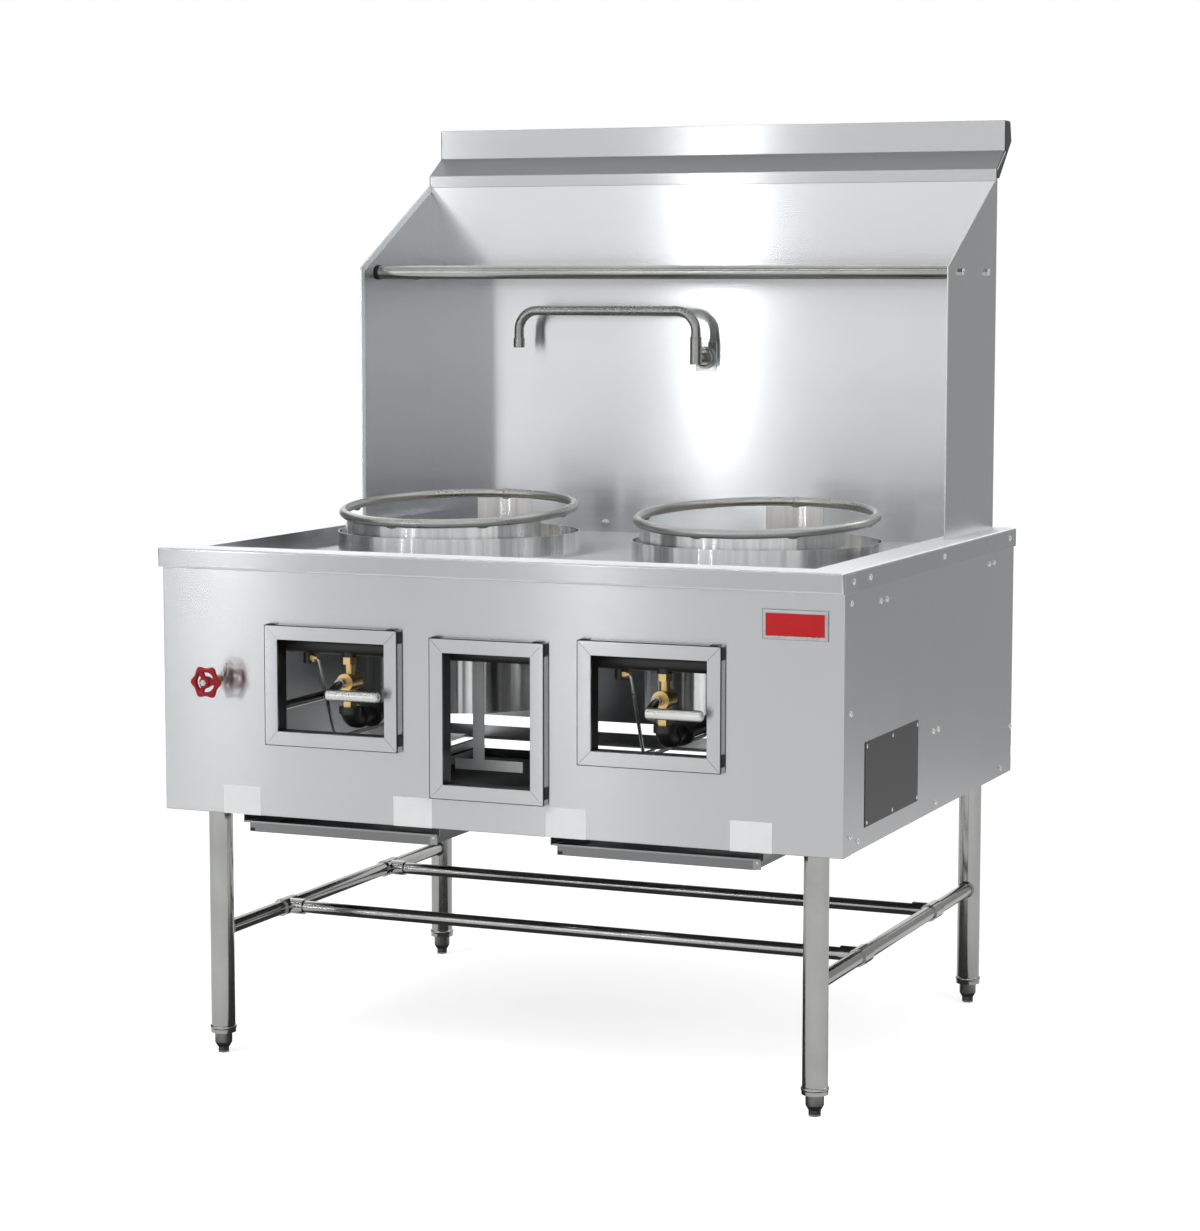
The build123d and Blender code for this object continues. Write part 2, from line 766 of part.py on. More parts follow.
wheel_rear = front_face - wheel_standoff
wheel_front = wheel_rear - wheel_thickness
hub_nose = wheel_front - wheel_hub_extra

with BuildPart() as water_valve_stem:
    along_y(water_x, water_height, hub_nose - wheel_nut_height, stem_end - foot_gap, stem_radius)
    with BuildSketch(Plane.XZ.offset(-hub_nose)):
        with Locations((water_x, water_height)):
            RegularPolygon(wheel_nut_radius, 6)
    extrude(amount=wheel_nut_height)
save(water_valve_stem, "water_valve_stem")

with BuildPart() as water_handwheel:
    with BuildSketch(Plane.XZ.offset(-wheel_rear)):
        with Locations((water_x, water_height)):
            Circle(wheel_radius)
            with PolarLocations(wheel_lobe_circle, wheel_lobes):
                Circle(wheel_lobe_radius)
            Circle(wheel_radius - wheel_rim_width, mode=Mode.SUBTRACT)
            with PolarLocations(0, wheel_lobes // 2):
                Rectangle(2 * wheel_radius - wheel_rim_width, wheel_spoke_width)
            Circle(wheel_hub_radius)
    extrude(amount=wheel_thickness)
    along_y(water_x, water_height, hub_nose, wheel_rear + wheel_hub_extra, wheel_hub_radius)
    bore_radius = stem_radius + shaft_gap
    along_y(water_x, water_height, hub_nose, wheel_rear + wheel_hub_extra, bore_radius, mode=Mode.SUBTRACT)
save(water_handwheel, "water_handwheel")

riser_y = rear_face + water_riser_gap
shank_end = wall_front + faucet_shank_length
with BuildPart() as water_pipes:
    outlet_route = [
        (water_x, water_port_y, water_port_top),
        (water_x, water_port_y, water_outlet_height),
        (water_x, riser_y, water_outlet_height),
        (water_x, riser_y, water_crossing_height),
        (faucet_x, riser_y, water_crossing_height),
        (faucet_x, riser_y, faucet_arm_height),
        (faucet_x, shank_end, faucet_arm_height),
    ]
    bent_tube(outlet_route, pipe_bend, water_pipe_radius, water_pipe_wall)
    supply_route = [
        (water_x, water_port_y, water_port_low),
        (water_x, water_port_y, water_inlet_height),
        (water_x, rear_face + water_stub, water_inlet_height),
    ]
    bent_tube(supply_route, pipe_bend, water_pipe_radius, water_pipe_wall)
    union_end = rear_face + water_stub
    union_start = union_end - water_union_length
    union_bore = water_pipe_radius - water_pipe_wall
    along_y(water_x, water_inlet_height, union_start, union_end, water_union_radius, union_bore)
save(water_pipes, "water_pipes")

swivel_y = wall_front - faucet_standoff
with BuildPart() as faucet_body:
    flange_front = wall_front - faucet_flange_thickness
    along_y(faucet_x, faucet_arm_height, flange_front, wall_front, faucet_flange_radius)
    along_y(faucet_x, faucet_arm_height, swivel_y, flange_front, faucet_arm_radius)
    along_y(faucet_x, faucet_arm_height, wall_front, shank_end, faucet_shank_radius)
    upright(faucet_x, swivel_y, swivel_bottom, swivel_top, swivel_radius)
    swivel_floor = swivel_top - spout_tail
    bore_radius = spout_radius + shaft_gap
    upright(faucet_x, swivel_y, swivel_floor, swivel_top, bore_radius, mode=Mode.SUBTRACT)
save(faucet_body, "faucet_body")

nozzle_x = faucet_x - spout_reach
spout_end = nozzle_bottom + nozzle_height - nozzle_lap
with BuildPart() as faucet_spout:
    spout_route = [
        (faucet_x, swivel_y, swivel_floor + foot_gap),
        (faucet_x, swivel_y, spout_height),
        (nozzle_x, swivel_y, spout_height),
        (nozzle_x, swivel_y, spout_end),
    ]
    bent_tube(spout_route, spout_bend, spout_radius, spout_wall)
save(faucet_spout, "faucet_spout")

with BuildPart() as faucet_nozzle:
    nozzle_top = nozzle_bottom + nozzle_height
    upright(nozzle_x, swivel_y, nozzle_bottom, nozzle_top, nozzle_radius, nozzle_hole_radius)
    bore_radius = spout_radius + shaft_gap
    upright(nozzle_x, swivel_y, spout_end, nozzle_top, bore_radius, mode=Mode.SUBTRACT)
save(faucet_nozzle, "faucet_nozzle")

# ---------------------------------------------------------------- backsplash

wing_front = wall_front - wing_depth
rack_front_y = wing_front + rack_front_inset
rack_places = [(rack_front_y, rack_height), (rack_front_y + rack_spacing, rack_height)]

with BuildPart() as backsplash_wall:
    wall_half = wing_face - sheet
    slab((-wall_half, wall_half), (wall_front, wall_back), (rim_top, wall_top))
    slab((-well_half_width, well_half_width), (wall_front, wall_back), (deck_top, rim_top))
    hole_radius = faucet_shank_radius + faucet_shank_gap
    along_y(faucet_x, faucet_arm_height, wall_front, wall_back, hole_radius, mode=Mode.SUBTRACT)
save(backsplash_wall, "backsplash_wall")

for side, side_name in side_names.items():
    with BuildPart() as backsplash_wing:
        with BuildSketch(Plane.YZ.offset(side * wing_face)):
            with BuildLine():
                Polyline(
                    (wing_front, rim_top),
                    (wall_back, rim_top),
                    (wall_back, wing_apex),
                    (wall_front, wing_apex),
                    (wing_front, wing_corner),
                    close=True,
                )
            make_face()
            corner = vertices().filter_by_position(Axis.Y, wing_corner - 1, wing_corner + 1)
            fillet(corner, radius=wing_corner_radius)
            with Locations(*rack_places):
                Circle(rack_bolt_radius + bolt_gap, mode=Mode.SUBTRACT)
        extrude(amount=-side * sheet)
    save(backsplash_wing, f"{side_name}_backsplash_wing")

foot_bottom = wall_top - deflector_foot + rim_sheet
bend_low = foot_bottom + deflector_foot
bend_high = bend_low + deflector_rise
face_y = wall_front + deflector_run
face_top = bend_high + deflector_face

with BuildPart() as top_deflector:
    with BuildSketch(Plane.YZ.offset(-wing_face + sheet)):
        with BuildLine():
            Polyline(
                (wall_front, foot_bottom),
                (wall_front, bend_low),
                (face_y, bend_high),
                (face_y, face_top),
                (face_y + deflector_return, face_top),
            )
            offset(amount=sheet, side=Side.LEFT, kind=Kind.INTERSECTION)
        make_face()
    extrude(amount=2 * (wing_face - sheet))
save(top_deflector, "top_deflector")

with BuildPart() as deflector_end_plates:
    plate_low = wing_apex + bolt_gap
    for side in (-1, 1):
        with BuildSketch(Plane.YZ.offset(side * wing_face)):
            with BuildLine():
                Polyline(
                    (wall_front - sheet, plate_low),
                    (wall_front - sheet, bend_low),
                    (face_y - sheet, bend_high),
                    (face_y - sheet, face_top),
                    (face_y + deflector_return, face_top),
                    (face_y + deflector_return + end_plate_lean, face_top - deflector_rise),
                    (wall_front + deflector_run / 4, plate_low),
                    close=True,
                )
            make_face()
        extrude(amount=-side * sheet)
save(deflector_end_plates, "deflector_end_plates")

pipe_half = wing_face - sheet
with BuildPart() as rack_pipes:
    for rack_y, rack_z in rack_places:
        along_x(rack_y, rack_z, -pipe_half, pipe_half, rack_radius, rack_radius - tube_wall)
        for side in (-1, 1):
            plug_end = side * (pipe_half - rack_plug_length)
            plug_bore = rack_bolt_radius + bolt_gap
            along_x(rack_y, rack_z, plug_end, side * pipe_half, rack_radius - tube_wall, plug_bore)
save(rack_pipes, "rack_pipes")

with BuildPart() as rack_bolts:
    for rack_y, rack_z in rack_places:
        for side in (-1, 1):
            shank_tip = side * (wing_face - rack_bolt_length)
            along_x(rack_y, rack_z, shank_tip, side * wing_face, rack_bolt_radius)
            with BuildSketch(Plane.YZ.offset(side * wing_face)):
                with Locations((rack_y, rack_z)):
                    RegularPolygon(bolt_head_radius, 6)
            extrude(amount=side * bolt_head_height)
save(rack_bolts, "rack_bolts")

# ---------------------------------------------------------------- stand

with BuildPart() as leg_gussets:
    for leg_px, leg_py in leg_places:
        side = 1 if leg_px > 0 else -1
        depth = 1 if leg_py > 0 else -1
        plate_x = (leg_px - side * gusset_reach, side * side_inner)
        plate_y = (leg_py - depth * gusset_reach, depth * (rear_face - sheet))
        plate_z = (body_bottom + sheet, body_bottom + sheet + gusset_thickness)
        slab(plate_x, plate_y, plate_z)
save(leg_gussets, "leg_gussets")

tube_bottom = insert_bottom + insert_collar
with BuildPart() as legs:
    for leg_px, leg_py in leg_places:
        upright(leg_px, leg_py, tube_bottom, body_bottom + sheet, leg_radius, leg_radius - leg_wall)
save(legs, "legs")

with BuildPart() as leg_inserts:
    stem_bore = foot_stem_radius + shaft_gap
    for leg_px, leg_py in leg_places:
        upright(leg_px, leg_py, insert_bottom, tube_bottom, insert_radius, stem_bore)
        spigot_radius = leg_radius - leg_wall - shaft_gap
        upright(leg_px, leg_py, tube_bottom, tube_bottom + insert_depth, spigot_radius, stem_bore)
save(leg_inserts, "leg_inserts")

foot_names = ["front_left_foot", "front_right_foot", "rear_left_foot", "rear_right_foot"]
for foot_name, (leg_px, leg_py) in zip(foot_names, leg_places):
    with BuildPart() as foot:
        with BuildSketch(Plane.XY):
            with Locations((leg_px, leg_py)):
                RegularPolygon(foot_hex_radius, 6)
        extrude(amount=foot_hex_height)
        cone_top = foot_hex_height + foot_cone_height
        with Locations((leg_px, leg_py, foot_hex_height)):
            cone_align = (Align.CENTER, Align.CENTER, Align.MIN)
            Cone(foot_hex_radius, foot_radius, foot_cone_height, align=cone_align)
        foot_shoulder = insert_bottom - foot_gap
        upright(leg_px, leg_py, cone_top, foot_shoulder, foot_radius)
        upright(leg_px, leg_py, foot_shoulder, foot_shoulder + foot_stem_length, foot_stem_radius)
    save(foot, foot_name)

sleeve_bore = stretcher_radius + shaft_gap
sleeve_radius = sleeve_bore + tee_wall
rail_ys = [leg_middle_y - rail_spacing / 2, leg_middle_y + rail_spacing / 2]
with BuildPart() as lower_rails:
    stretcher_bore = stretcher_radius - tube_wall
    for side in (-1, 1):
        along_y(side * leg_x, rail_height, leg_front_y, leg_rear_y, stretcher_radius, stretcher_bore)
    for leg_px, leg_py in leg_places:
        cope_low = rail_height - 2 * stretcher_radius
        cope_high = rail_height + 2 * stretcher_radius
        upright(leg_px, leg_py, cope_low, cope_high, leg_radius, mode=Mode.SUBTRACT)
    rail_end = leg_x - sleeve_radius
    for rail_y in rail_ys:
        along_x(rail_y, rail_height, -rail_end, rail_end, rail_radius, rail_radius - tube_wall)
save(lower_rails, "lower_rails")

with BuildPart() as rail_tees:
    stub_bore = rail_radius + shaft_gap
    for side in (-1, 1):
        for rail_y in rail_ys:
            half = tee_sleeve_length / 2
            along_y(side * leg_x, rail_height, rail_y - half, rail_y + half, sleeve_radius)
            stub_end = side * (leg_x - sleeve_radius - tee_stub_length)
            along_x(rail_y, rail_height, side * leg_x, stub_end, stub_bore + tee_wall)
            along_y(side * leg_x, rail_height, rail_y - half, rail_y + half, sleeve_bore, mode=Mode.SUBTRACT)
            stub_start = side * (leg_x - sleeve_radius)
            along_x(rail_y, rail_height, stub_start, stub_end, stub_bore, mode=Mode.SUBTRACT)
save(rail_tees, "rail_tees")

# ---------------------------------------------------------------- drip trays

# Each tray is welded from a floor sheet, a front and a rear strip, and two side rails with lips
# that hang on the runners.
tray_front = front_face + tray_front_inset
tray_back = tray_front + tray_length
for side, side_name in side_names.items():
    centre_x = side * chamber_x
    with BuildPart() as drip_tray:
        half = tray_width / 2
        inner_half = half - sheet
        tray_bottom = tray_top - tray_depth
        wall_z = (tray_bottom + sheet + tray_weld_gap, tray_top)
        strip_x = (centre_x - inner_half + tray_weld_gap, centre_x + inner_half - tray_weld_gap)
        slab((centre_x - half, centre_x + half), (tray_front, tray_back), (tray_bottom, tray_bottom + sheet))
        slab(strip_x, (tray_front, tray_front + sheet), wall_z)
        slab(strip_x, (tray_back - sheet, tray_back), wall_z)
        for edge in (-1, 1):
            rail_x = (centre_x + edge * inner_half, centre_x + edge * half)
            slab(rail_x, (tray_front, tray_back), wall_z)
            lip_x = (centre_x + edge * half, centre_x + edge * (half + tray_lip))
            slab(lip_x, (tray_front, tray_back), (tray_top - sheet, tray_top))
    save(drip_tray, f"{side_name}_drip_tray")

with BuildPart() as tray_runners:
    shelf_top = tray_top - sheet - runner_gap
    runner_y = (front_face + sheet, rear_face - sheet)
    for side in (-1, 1):
        for edge in (-1, 1):
            web = side * chamber_x + edge * (tray_width / 2 + tray_lip + runner_side_gap)
            slab((web, web + edge * sheet), runner_y, (shelf_top - sheet, body_bottom))
            slab((web - edge * runner_lip, web), runner_y, (shelf_top - sheet, shelf_top))
            slab((web, web + edge * runner_lip), runner_y, (body_bottom - sheet, body_bottom))
save(tray_runners, "tray_runners")

# ---------------------------------------------------------------- plates and fasteners

badge_x = side_face - badge_inset
badge_z = rim_top - badge_drop
with BuildPart() as badge_plate:
    badge_low = (badge_z - badge_height / 2, badge_z + badge_height / 2)
    badge_across = (badge_x - badge_width / 2, badge_x + badge_width / 2)
    slab(badge_across, (front_face - badge_thickness, front_face), badge_low)
    field_x = (badge_across[0] + badge_rim, badge_across[1] - badge_rim)
    field_z = (badge_low[0] + badge_rim, badge_low[1] - badge_rim)
    badge_front = front_face - badge_thickness
    slab(field_x, (badge_front, badge_front + badge_recess), field_z, mode=Mode.SUBTRACT)
save(badge_plate, "badge_plate")

data_plate_y = front_face + data_plate_setback
data_plate_z = body_bottom + data_plate_rise
with BuildPart() as data_plate:
    plate_y = (data_plate_y - data_plate_length / 2, data_plate_y + data_plate_length / 2)
    plate_z = (data_plate_z - data_plate_height / 2, data_plate_z + data_plate_height / 2)
    slab((side_skin, side_skin + data_plate_thickness), plate_y, plate_z)
save(data_plate, "data_plate")

# Screw places on a side. A setback is behind the front face, or before the rear face where it is
# negative. A height is above the cabinet's bottom, or below the rim's top where it is negative.
lip_screws = [(34, -17), (118, -17), (526, -17), (-40, -17)]
flange_screws = [(31, -51), (31, 225), (31, 30)]
panel_screws = [
    (185, -61),
    (216, -61),
    (-164, -54),
    (-132, -54),
    (484, 138),
    (512, 138),
    (-9, 83),
    (-71, 13),
    (500, 13),
    (76, 16),
]
screw_groups = [(side_face + rim_sheet, lip_screws), (side_face, flange_screws), (side_skin, panel_screws)]
with BuildPart() as panel_fasteners:
    for side in (-1, 1):
        for seat, places in screw_groups:
            for setback, height in places:
                screw_y = setback + (front_face if setback > 0 else rear_face)
                screw_z = height + (body_bottom if height > 0 else rim_top)
                start = side * seat
                end = side * (seat + screw_head_height)
                along_x(screw_y, screw_z, start, end, screw_head_radius)
    rivet_seat = side_skin + data_plate_thickness
    rivet_span_y = data_plate_length / 2 - rivet_edge_distance
    rivet_span_z = data_plate_height / 2 - rivet_edge_distance
    for row in (-1, 1):
        for column in (-1, 0, 1):
            rivet_y = data_plate_y + column * rivet_span_y
            rivet_z = data_plate_z + row * rivet_span_z
            along_x(rivet_y, rivet_z, rivet_seat, rivet_seat + rivet_head_height, rivet_head_radius)
save(panel_fasteners, "panel_fasteners")
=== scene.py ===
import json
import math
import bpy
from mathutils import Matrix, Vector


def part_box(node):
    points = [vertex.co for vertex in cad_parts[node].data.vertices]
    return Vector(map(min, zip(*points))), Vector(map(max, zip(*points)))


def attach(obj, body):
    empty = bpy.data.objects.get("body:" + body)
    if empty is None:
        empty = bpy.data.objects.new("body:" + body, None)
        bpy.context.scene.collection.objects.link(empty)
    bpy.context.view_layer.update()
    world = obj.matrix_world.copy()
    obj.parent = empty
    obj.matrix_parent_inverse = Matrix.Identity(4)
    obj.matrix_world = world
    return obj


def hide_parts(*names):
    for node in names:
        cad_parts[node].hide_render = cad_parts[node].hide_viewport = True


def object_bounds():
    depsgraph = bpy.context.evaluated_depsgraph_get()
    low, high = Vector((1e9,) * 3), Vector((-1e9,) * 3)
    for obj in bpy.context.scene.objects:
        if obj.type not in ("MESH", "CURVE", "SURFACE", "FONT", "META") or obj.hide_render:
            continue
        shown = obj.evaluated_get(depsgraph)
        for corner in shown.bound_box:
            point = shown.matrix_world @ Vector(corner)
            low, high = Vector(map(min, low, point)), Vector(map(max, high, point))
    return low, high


bl_info = {
    "name": "Wok Range",
    "version": (1, 0, 0),
    "blender": (4, 5, 0),
    "location": "View3D > Sidebar > Wok Range",
    "description": "Dresses a stainless wok range and stands it in a plain studio",
    "category": "Object",
}

import bmesh
import bpy
from bpy.props import FloatProperty, FloatVectorProperty, IntProperty, PointerProperty
from bpy.types import Operator, Panel, PropertyGroup
from mathutils import Matrix, Vector

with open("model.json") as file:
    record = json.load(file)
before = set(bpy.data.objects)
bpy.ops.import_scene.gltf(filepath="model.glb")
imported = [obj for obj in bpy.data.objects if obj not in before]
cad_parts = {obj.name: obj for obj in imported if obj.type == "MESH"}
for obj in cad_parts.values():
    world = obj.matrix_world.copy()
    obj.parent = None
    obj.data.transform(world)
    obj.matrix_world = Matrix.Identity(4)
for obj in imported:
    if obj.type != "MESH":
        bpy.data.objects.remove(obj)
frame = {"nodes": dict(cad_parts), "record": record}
CAD_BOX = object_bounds()
NODES = frame["nodes"]
RECORD = frame["record"]
BODY_OF = {node: body for body, nodes in RECORD["behaviour"]["bodies"].items() for node in nodes}

SIDES = {"left": -1, "right": 1}
RIGHT = (1, 0, 0)
BACK = (0, 1, 0)
FORWARD = (0, -1, 0)
UP = (0, 0, 1)
SLACK = 0.0002

# ---------------------------------------------------------------- settings


def setting(kind, **fixed):
    """A maker of one kind of setting, from its name, description, default and least."""

    def make(name, description, default, least=None):
        limits = fixed if least is None else {**fixed, "min": least}
        return kind(name=name, description=description, default=default, **limits)

    return make


a_colour = setting(FloatVectorProperty, subtype="COLOR", size=3, min=0.0, max=1.0)
a_length = setting(FloatProperty, unit="LENGTH", min=0.0)
a_share = setting(FloatProperty, subtype="FACTOR", min=0.0, max=1.0)
an_angle = setting(FloatProperty, subtype="ANGLE")
a_power = setting(FloatProperty, unit="POWER", min=0.0)
a_strength = setting(FloatProperty, min=0.0)


class SteelSettings(PropertyGroup):
    """The finish of the stainless sheet and tube."""

    sheet_colour: a_colour("Sheet colour", "Colour of the brushed sheet", (0.50, 0.512, 0.522))
    tube_colour: a_colour("Tube colour", "Colour of the polished tube", (0.40, 0.405, 0.39))
    sheet_roughness: a_share("Sheet roughness", "Middle roughness of the brushed sheet", 0.19)
    tube_roughness: a_share("Tube roughness", "Middle roughness of the polished tube", 0.16)
    anisotropy: a_share("Anisotropy", "How far the brushing draws highlights out", 1.0)
    grain_pitch: a_length("Grain pitch", "Distance between brush lines", 0.0007, 0.0002)
    grain_run: a_length("Grain run", "Length of a brush line", 0.3, 0.01)
    wave_height: a_length("Wave height", "Height of the shallow waves in a sheet", 0.0006)
    ripple_height: a_length("Ripple height", "Height of the ripples in a rolled sheet", 0.0009)


class PaintSettings(PropertyGroup):
    """The colours of what isn't steel, and of the painted shade on some steel."""

    brass: a_colour("Brass", "Colour of the machined brass", (0.86, 0.64, 0.29))
    aluminium: a_colour("Aluminium", "Colour of the thin pilot tubes", (0.62, 0.62, 0.61))
    black_iron: a_colour("Black iron", "Colour of the gas pipe", (0.016, 0.016, 0.017))
    burner_iron: a_colour("Burner iron", "Colour of the burners", (0.035, 0.033, 0.031))
    # Black of the deflector's end plates, and painted shade on its left flap.
    black_paint: a_colour("Black paint", "Colour of the end plates", (0.005, 0.005, 0.006))
    # Dark of the lugs, and painted shade in the rack's end gaps and the tray slots.
    dark_gap: a_colour("Dark gap", "Colour of rubber, lugs and slots", (0.012, 0.012, 0.013))
    wheel_red: a_colour("Wheel red", "Colour of the handwheel's paint", (0.36, 0.004, 0.008))
    badge_red: a_colour("Badge red", "Colour of the badge's bare field", (0.56, 0.012, 0.016))
    refractory: a_colour("Refractory", "Colour of the chamber lining", (0.40, 0.34, 0.27))
    paper: a_colour("Label paper", "Colour of the blank labels", (0.91, 0.92, 0.93))
    dark_plate: a_colour("Dark plate", "Colour of the side's plate", (0.034, 0.040, 0.044))


class DetailSettings(PropertyGroup):
    """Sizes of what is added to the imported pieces."""

    rim_bend: a_length("Rim bend", "Outer radius of the bends in the top rim", 0.004, 0.0005)
    sheet_bend: a_length("Sheet bend", "Outer radius of the other sheet bends", 0.002, 0.0003)
    sheet: a_length("Sheet", "Thickness of the sheet", 0.0015, 0.0003)
    wrap_length: a_length("Wrap length", "How far the front lip folds round", 0.064, 0.01)
    hem_width: a_length("Hem width", "Width of the folded hems on the wings", 0.012, 0.003)
    frame_width: a_length("Frame width", "Width of a window frame's bars", 0.024, 0.005)
    frame_depth: a_length("Frame depth", "How far a window frame stands proud", 0.012, 0.002)
    mitre_gap: a_length("Mitre gap", "Gap in the corners of a window frame", 0.0007)
    ring_tube: a_length("Ring tube", "Radius of a wok ring's tube", 0.008, 0.002)
    ring_tilt: an_angle("Ring tilt", "How far a wok ring leans down to the front", math.radians(3.8))
    tab_width: a_length("Tab width", "Width of the welds under a wok ring", 0.020, 0.002)
    label_width: a_length("Label width", "Width of a blank label", 0.071, 0.005)
    label_height: a_length("Label height", "Height of a blank label", 0.0497, 0.005)
    wheel_lobes: IntProperty(
        name="Wheel lobes", description="Number of the wheel's finger grips", default=6, min=3, max=12
    )


class StudioSettings(PropertyGroup):
    """The camera, the light and the floor."""

    camera_place: FloatVectorProperty(
        name="Camera place",
        description="Where the camera stands",
        subtype="TRANSLATION",
        size=3,
        default=(2.1374, -5.0975, 1.3321),
    )
    camera_yaw: an_angle("Camera yaw", "How far the camera turns to the left", math.radians(22.84))
    camera_pitch: an_angle("Camera pitch", "How far the camera looks down", math.radians(6.073))
    camera_roll: an_angle("Camera roll", "How far the camera leans to a side", math.radians(0.043))
    lens: FloatProperty(
        name="Lens", description="Focal length on a sensor of 36 mm", default=91.81, min=10.0
    )
    room_light: a_strength("Room light", "Strength of the even light on the range", 0.47)
    key_power: a_power("Key power", "Power of the lamp at the front left", 110.0)
    fill_power: a_power("Fill power", "Power of the lamp on the right", 48.0)
    floor_glow: a_strength("Floor glow", "How white the floor stays where a shadow falls", 0.70)
    mirror_glow: a_strength("Mirror glow", "How much of that white the steel mirrors", 0.36)
    strip_power: a_power("Strip power", "Power of the upright strip lamp", 26.0)
    ceiling_strength: a_strength("Ceiling strength", "Strength of the mirrored ceiling", 0.9)


# ---------------------------------------------------------------- node helpers


def new_tree(owner):
    """The emptied node tree of a new material or world."""
    owner.use_nodes = True
    owner.node_tree.nodes.clear()
    return owner.node_tree


def add(tree, kind, feeds=None, **settings):
    """Add a node, set it up, and give each input its value or join what feeds it."""
    node = tree.nodes.new(kind)
    for key, value in settings.items():
        setattr(node, key, value)
    for key, feed in (feeds or {}).items():
        if isinstance(feed, bpy.types.NodeSocket):
            tree.links.new(feed, node.inputs[key])
        else:
            node.inputs[key].default_value = feed
    return node


def noise(tree, coords, scale, detail=3.0, roughness=0.5):
    """A noise whose scale is given along each axis, in cells a metre."""
    mapping = add(tree, "ShaderNodeMapping", {"Vector": coords, "Scale": scale})
    feeds = {"Vector": mapping.outputs[0], "Scale": 1.0, "Detail": detail, "Roughness": roughness}
    return add(tree, "ShaderNodeTexNoise", feeds).outputs[0]


def remap(tree, value, low=0.0, high=1.0, from_low=0.3, from_high=0.7):
    """Stretch a noise's middle part to a range."""
    limits = {"From Min": from_low, "From Max": from_high, "To Min": low, "To Max": high}
    return add(tree, "ShaderNodeMapRange", {"Value": value, **limits}).outputs[0]


def blend(tree, factor, first, second):
    """Mix two values by a factor."""
    return add(tree, "ShaderNodeMix", {0: factor, 2: first, 3: second}).outputs[0]


def tint(tree, factor, first, second):
    """Mix two colours by a factor."""
    return add(tree, "ShaderNodeMix", {0: factor, 6: first, 7: second}, data_type="RGBA").outputs[2]


def calc(tree, operation, *terms):
    """Work out one value from others."""
    return add(tree, "ShaderNodeMath", dict(enumerate(terms)), operation=operation).outputs[0]


def shaded(colour, factor):
    """A colour made darker or lighter."""
    return tuple(min(1.0, channel * factor) for channel in colour)


def two_tone(tree, factor, colour, dark, light):
    """A colour that runs from a darker to a lighter shade of itself."""
    ramp = add(tree, "ShaderNodeValToRGB", {"Fac": factor})
    for element, shade in zip(ramp.color_ramp.elements, (dark, light)):
        element.color = (*shaded(colour, shade), 1.0)
    return ramp.outputs[0]


def bump(tree, height, depth, before=None):
    """Raise a height field by a depth in metres, on top of an earlier bump."""
    feeds = {"Height": height, "Strength": 1.0, "Distance": depth}
    if before:
        feeds["Normal"] = before
    return add(tree, "ShaderNodeBump", feeds).outputs[0]


def close_finish(tree, feeds):
    """Add the shader that the feeds join, and the material's output."""
    shader = add(tree, "ShaderNodeBsdfPrincipled", feeds)
    add(tree, "ShaderNodeOutputMaterial", {"Surface": shader.outputs[0]})


# ---------------------------------------------------------------- finishes

# A pattern is its cells a metre along x, y and z, then the noise's detail and roughness.
HANDLING_MARKS = ((5.0, 5.0, 4.0), 6.0, 0.62)
SLOW_WAVES = ((2.6, 2.6, 2.2), 1.0)
# Upright streaks of painted highlight on a rolled sheet.
PAINTED_STREAKS = ((58.0, 58.0, 0.4), 3.0, 0.7)
ROLLED_RIPPLES = ((46.0, 46.0, 0.3), 1.0)
PLATING_GRAIN = ((260.0, 260.0, 260.0), 2.0)
PAINT_CLOUDS = ((14.0, 14.0, 14.0), 5.0, 0.65)
BRUSH_DETAIL = (4.0, 0.6)
BRUSH_DEPTH = 0.0000015

# Shade of the sheet's colour, roughness (None is the setting's), ripple and painted streaks, wave,
# painted light or shade on level faces.
# Every shade is the one stainless steel made lighter or darker: painted light and shade, set for how
# light falls on that piece.
SHEET_FINISHES = {
    "brushed_sheet": (1.0, None),
    "front_sheet": (1.0, None),
    "wall_sheet": (1.46, None),
    "deflector_sheet": (1.12, None, 0.0, 1.0, 0.5),
    "rim_sheet": (0.92, None, 0.0, 1.0, 1.8),
    "hem_sheet": (1.8, 0.30),
    "deck_sheet": (1.15, 0.24),
    "rolled_sheet": (1.95, 0.22, 1.0),
    "shade_sheet": (0.14, 0.34),
    "tray_sheet": (0.42, 0.34, 0.0, 0.6),
    "tray_hem": (0.62, 0.30, 0.0, 0.6),
}

# The setting of the colour, its shade, roughness (None is the setting's), clouds a metre, depth.
METAL_FINISHES = {
    "polished_tube": ("tube_colour", 1.0, None),
    "satin_tube": ("tube_colour", 1.25, 0.30),
    "satin_grip": ("tube_colour", 1.65, 0.30),
    "satin_chrome": ("tube_colour", 0.85, 0.27),
    "screw_steel": ("tube_colour", 1.8, 0.20),
    "zinc": ("tube_colour", 0.62, 0.36, 60.0),
    "weld": ("tube_colour", 0.72, 0.34, 160.0, 0.0006),
    # The sheet's colour painted lighter and rougher: painted light on the hanger and gussets in the
    # dark of the cabinet.
    "mill_sheet": ("sheet_colour", 1.5, 0.52, 7.0, 0.0004),
    "badge_steel": ("sheet_colour", 0.92, 0.30, 30.0),
    "brass": ("brass", 1.0, 0.24, 40.0),
    "aluminium": ("aluminium", 1.0, 0.30, 30.0),
}

# Roughness, grains a metre, depth of the grain, spread of its tone, gloss.
COATED_FINISHES = {
    "black_iron": (0.42, 900.0, 0.00015, 0.4),
    "burner_iron": (0.68, 500.0, 0.0004, 0.35),
    "black_paint": (0.85, 600.0, 0.00005, 0.3, 0.04),
    "dark_gap": (0.6, 500.0, 0.00004, 0.3),
    "wheel_red": (0.40, 420.0, 0.00025, 0.14, 0.4),
    "badge_red": (0.42, 300.0, 0.00002, 0.06, 0.3),
    "refractory": (0.88, 260.0, 0.0012, 0.22),
    "paper": (0.55, 1500.0, 0.00003, 0.03),
    "dark_plate": (0.50, 1200.0, 0.00003, 0.12, 0.25),
}


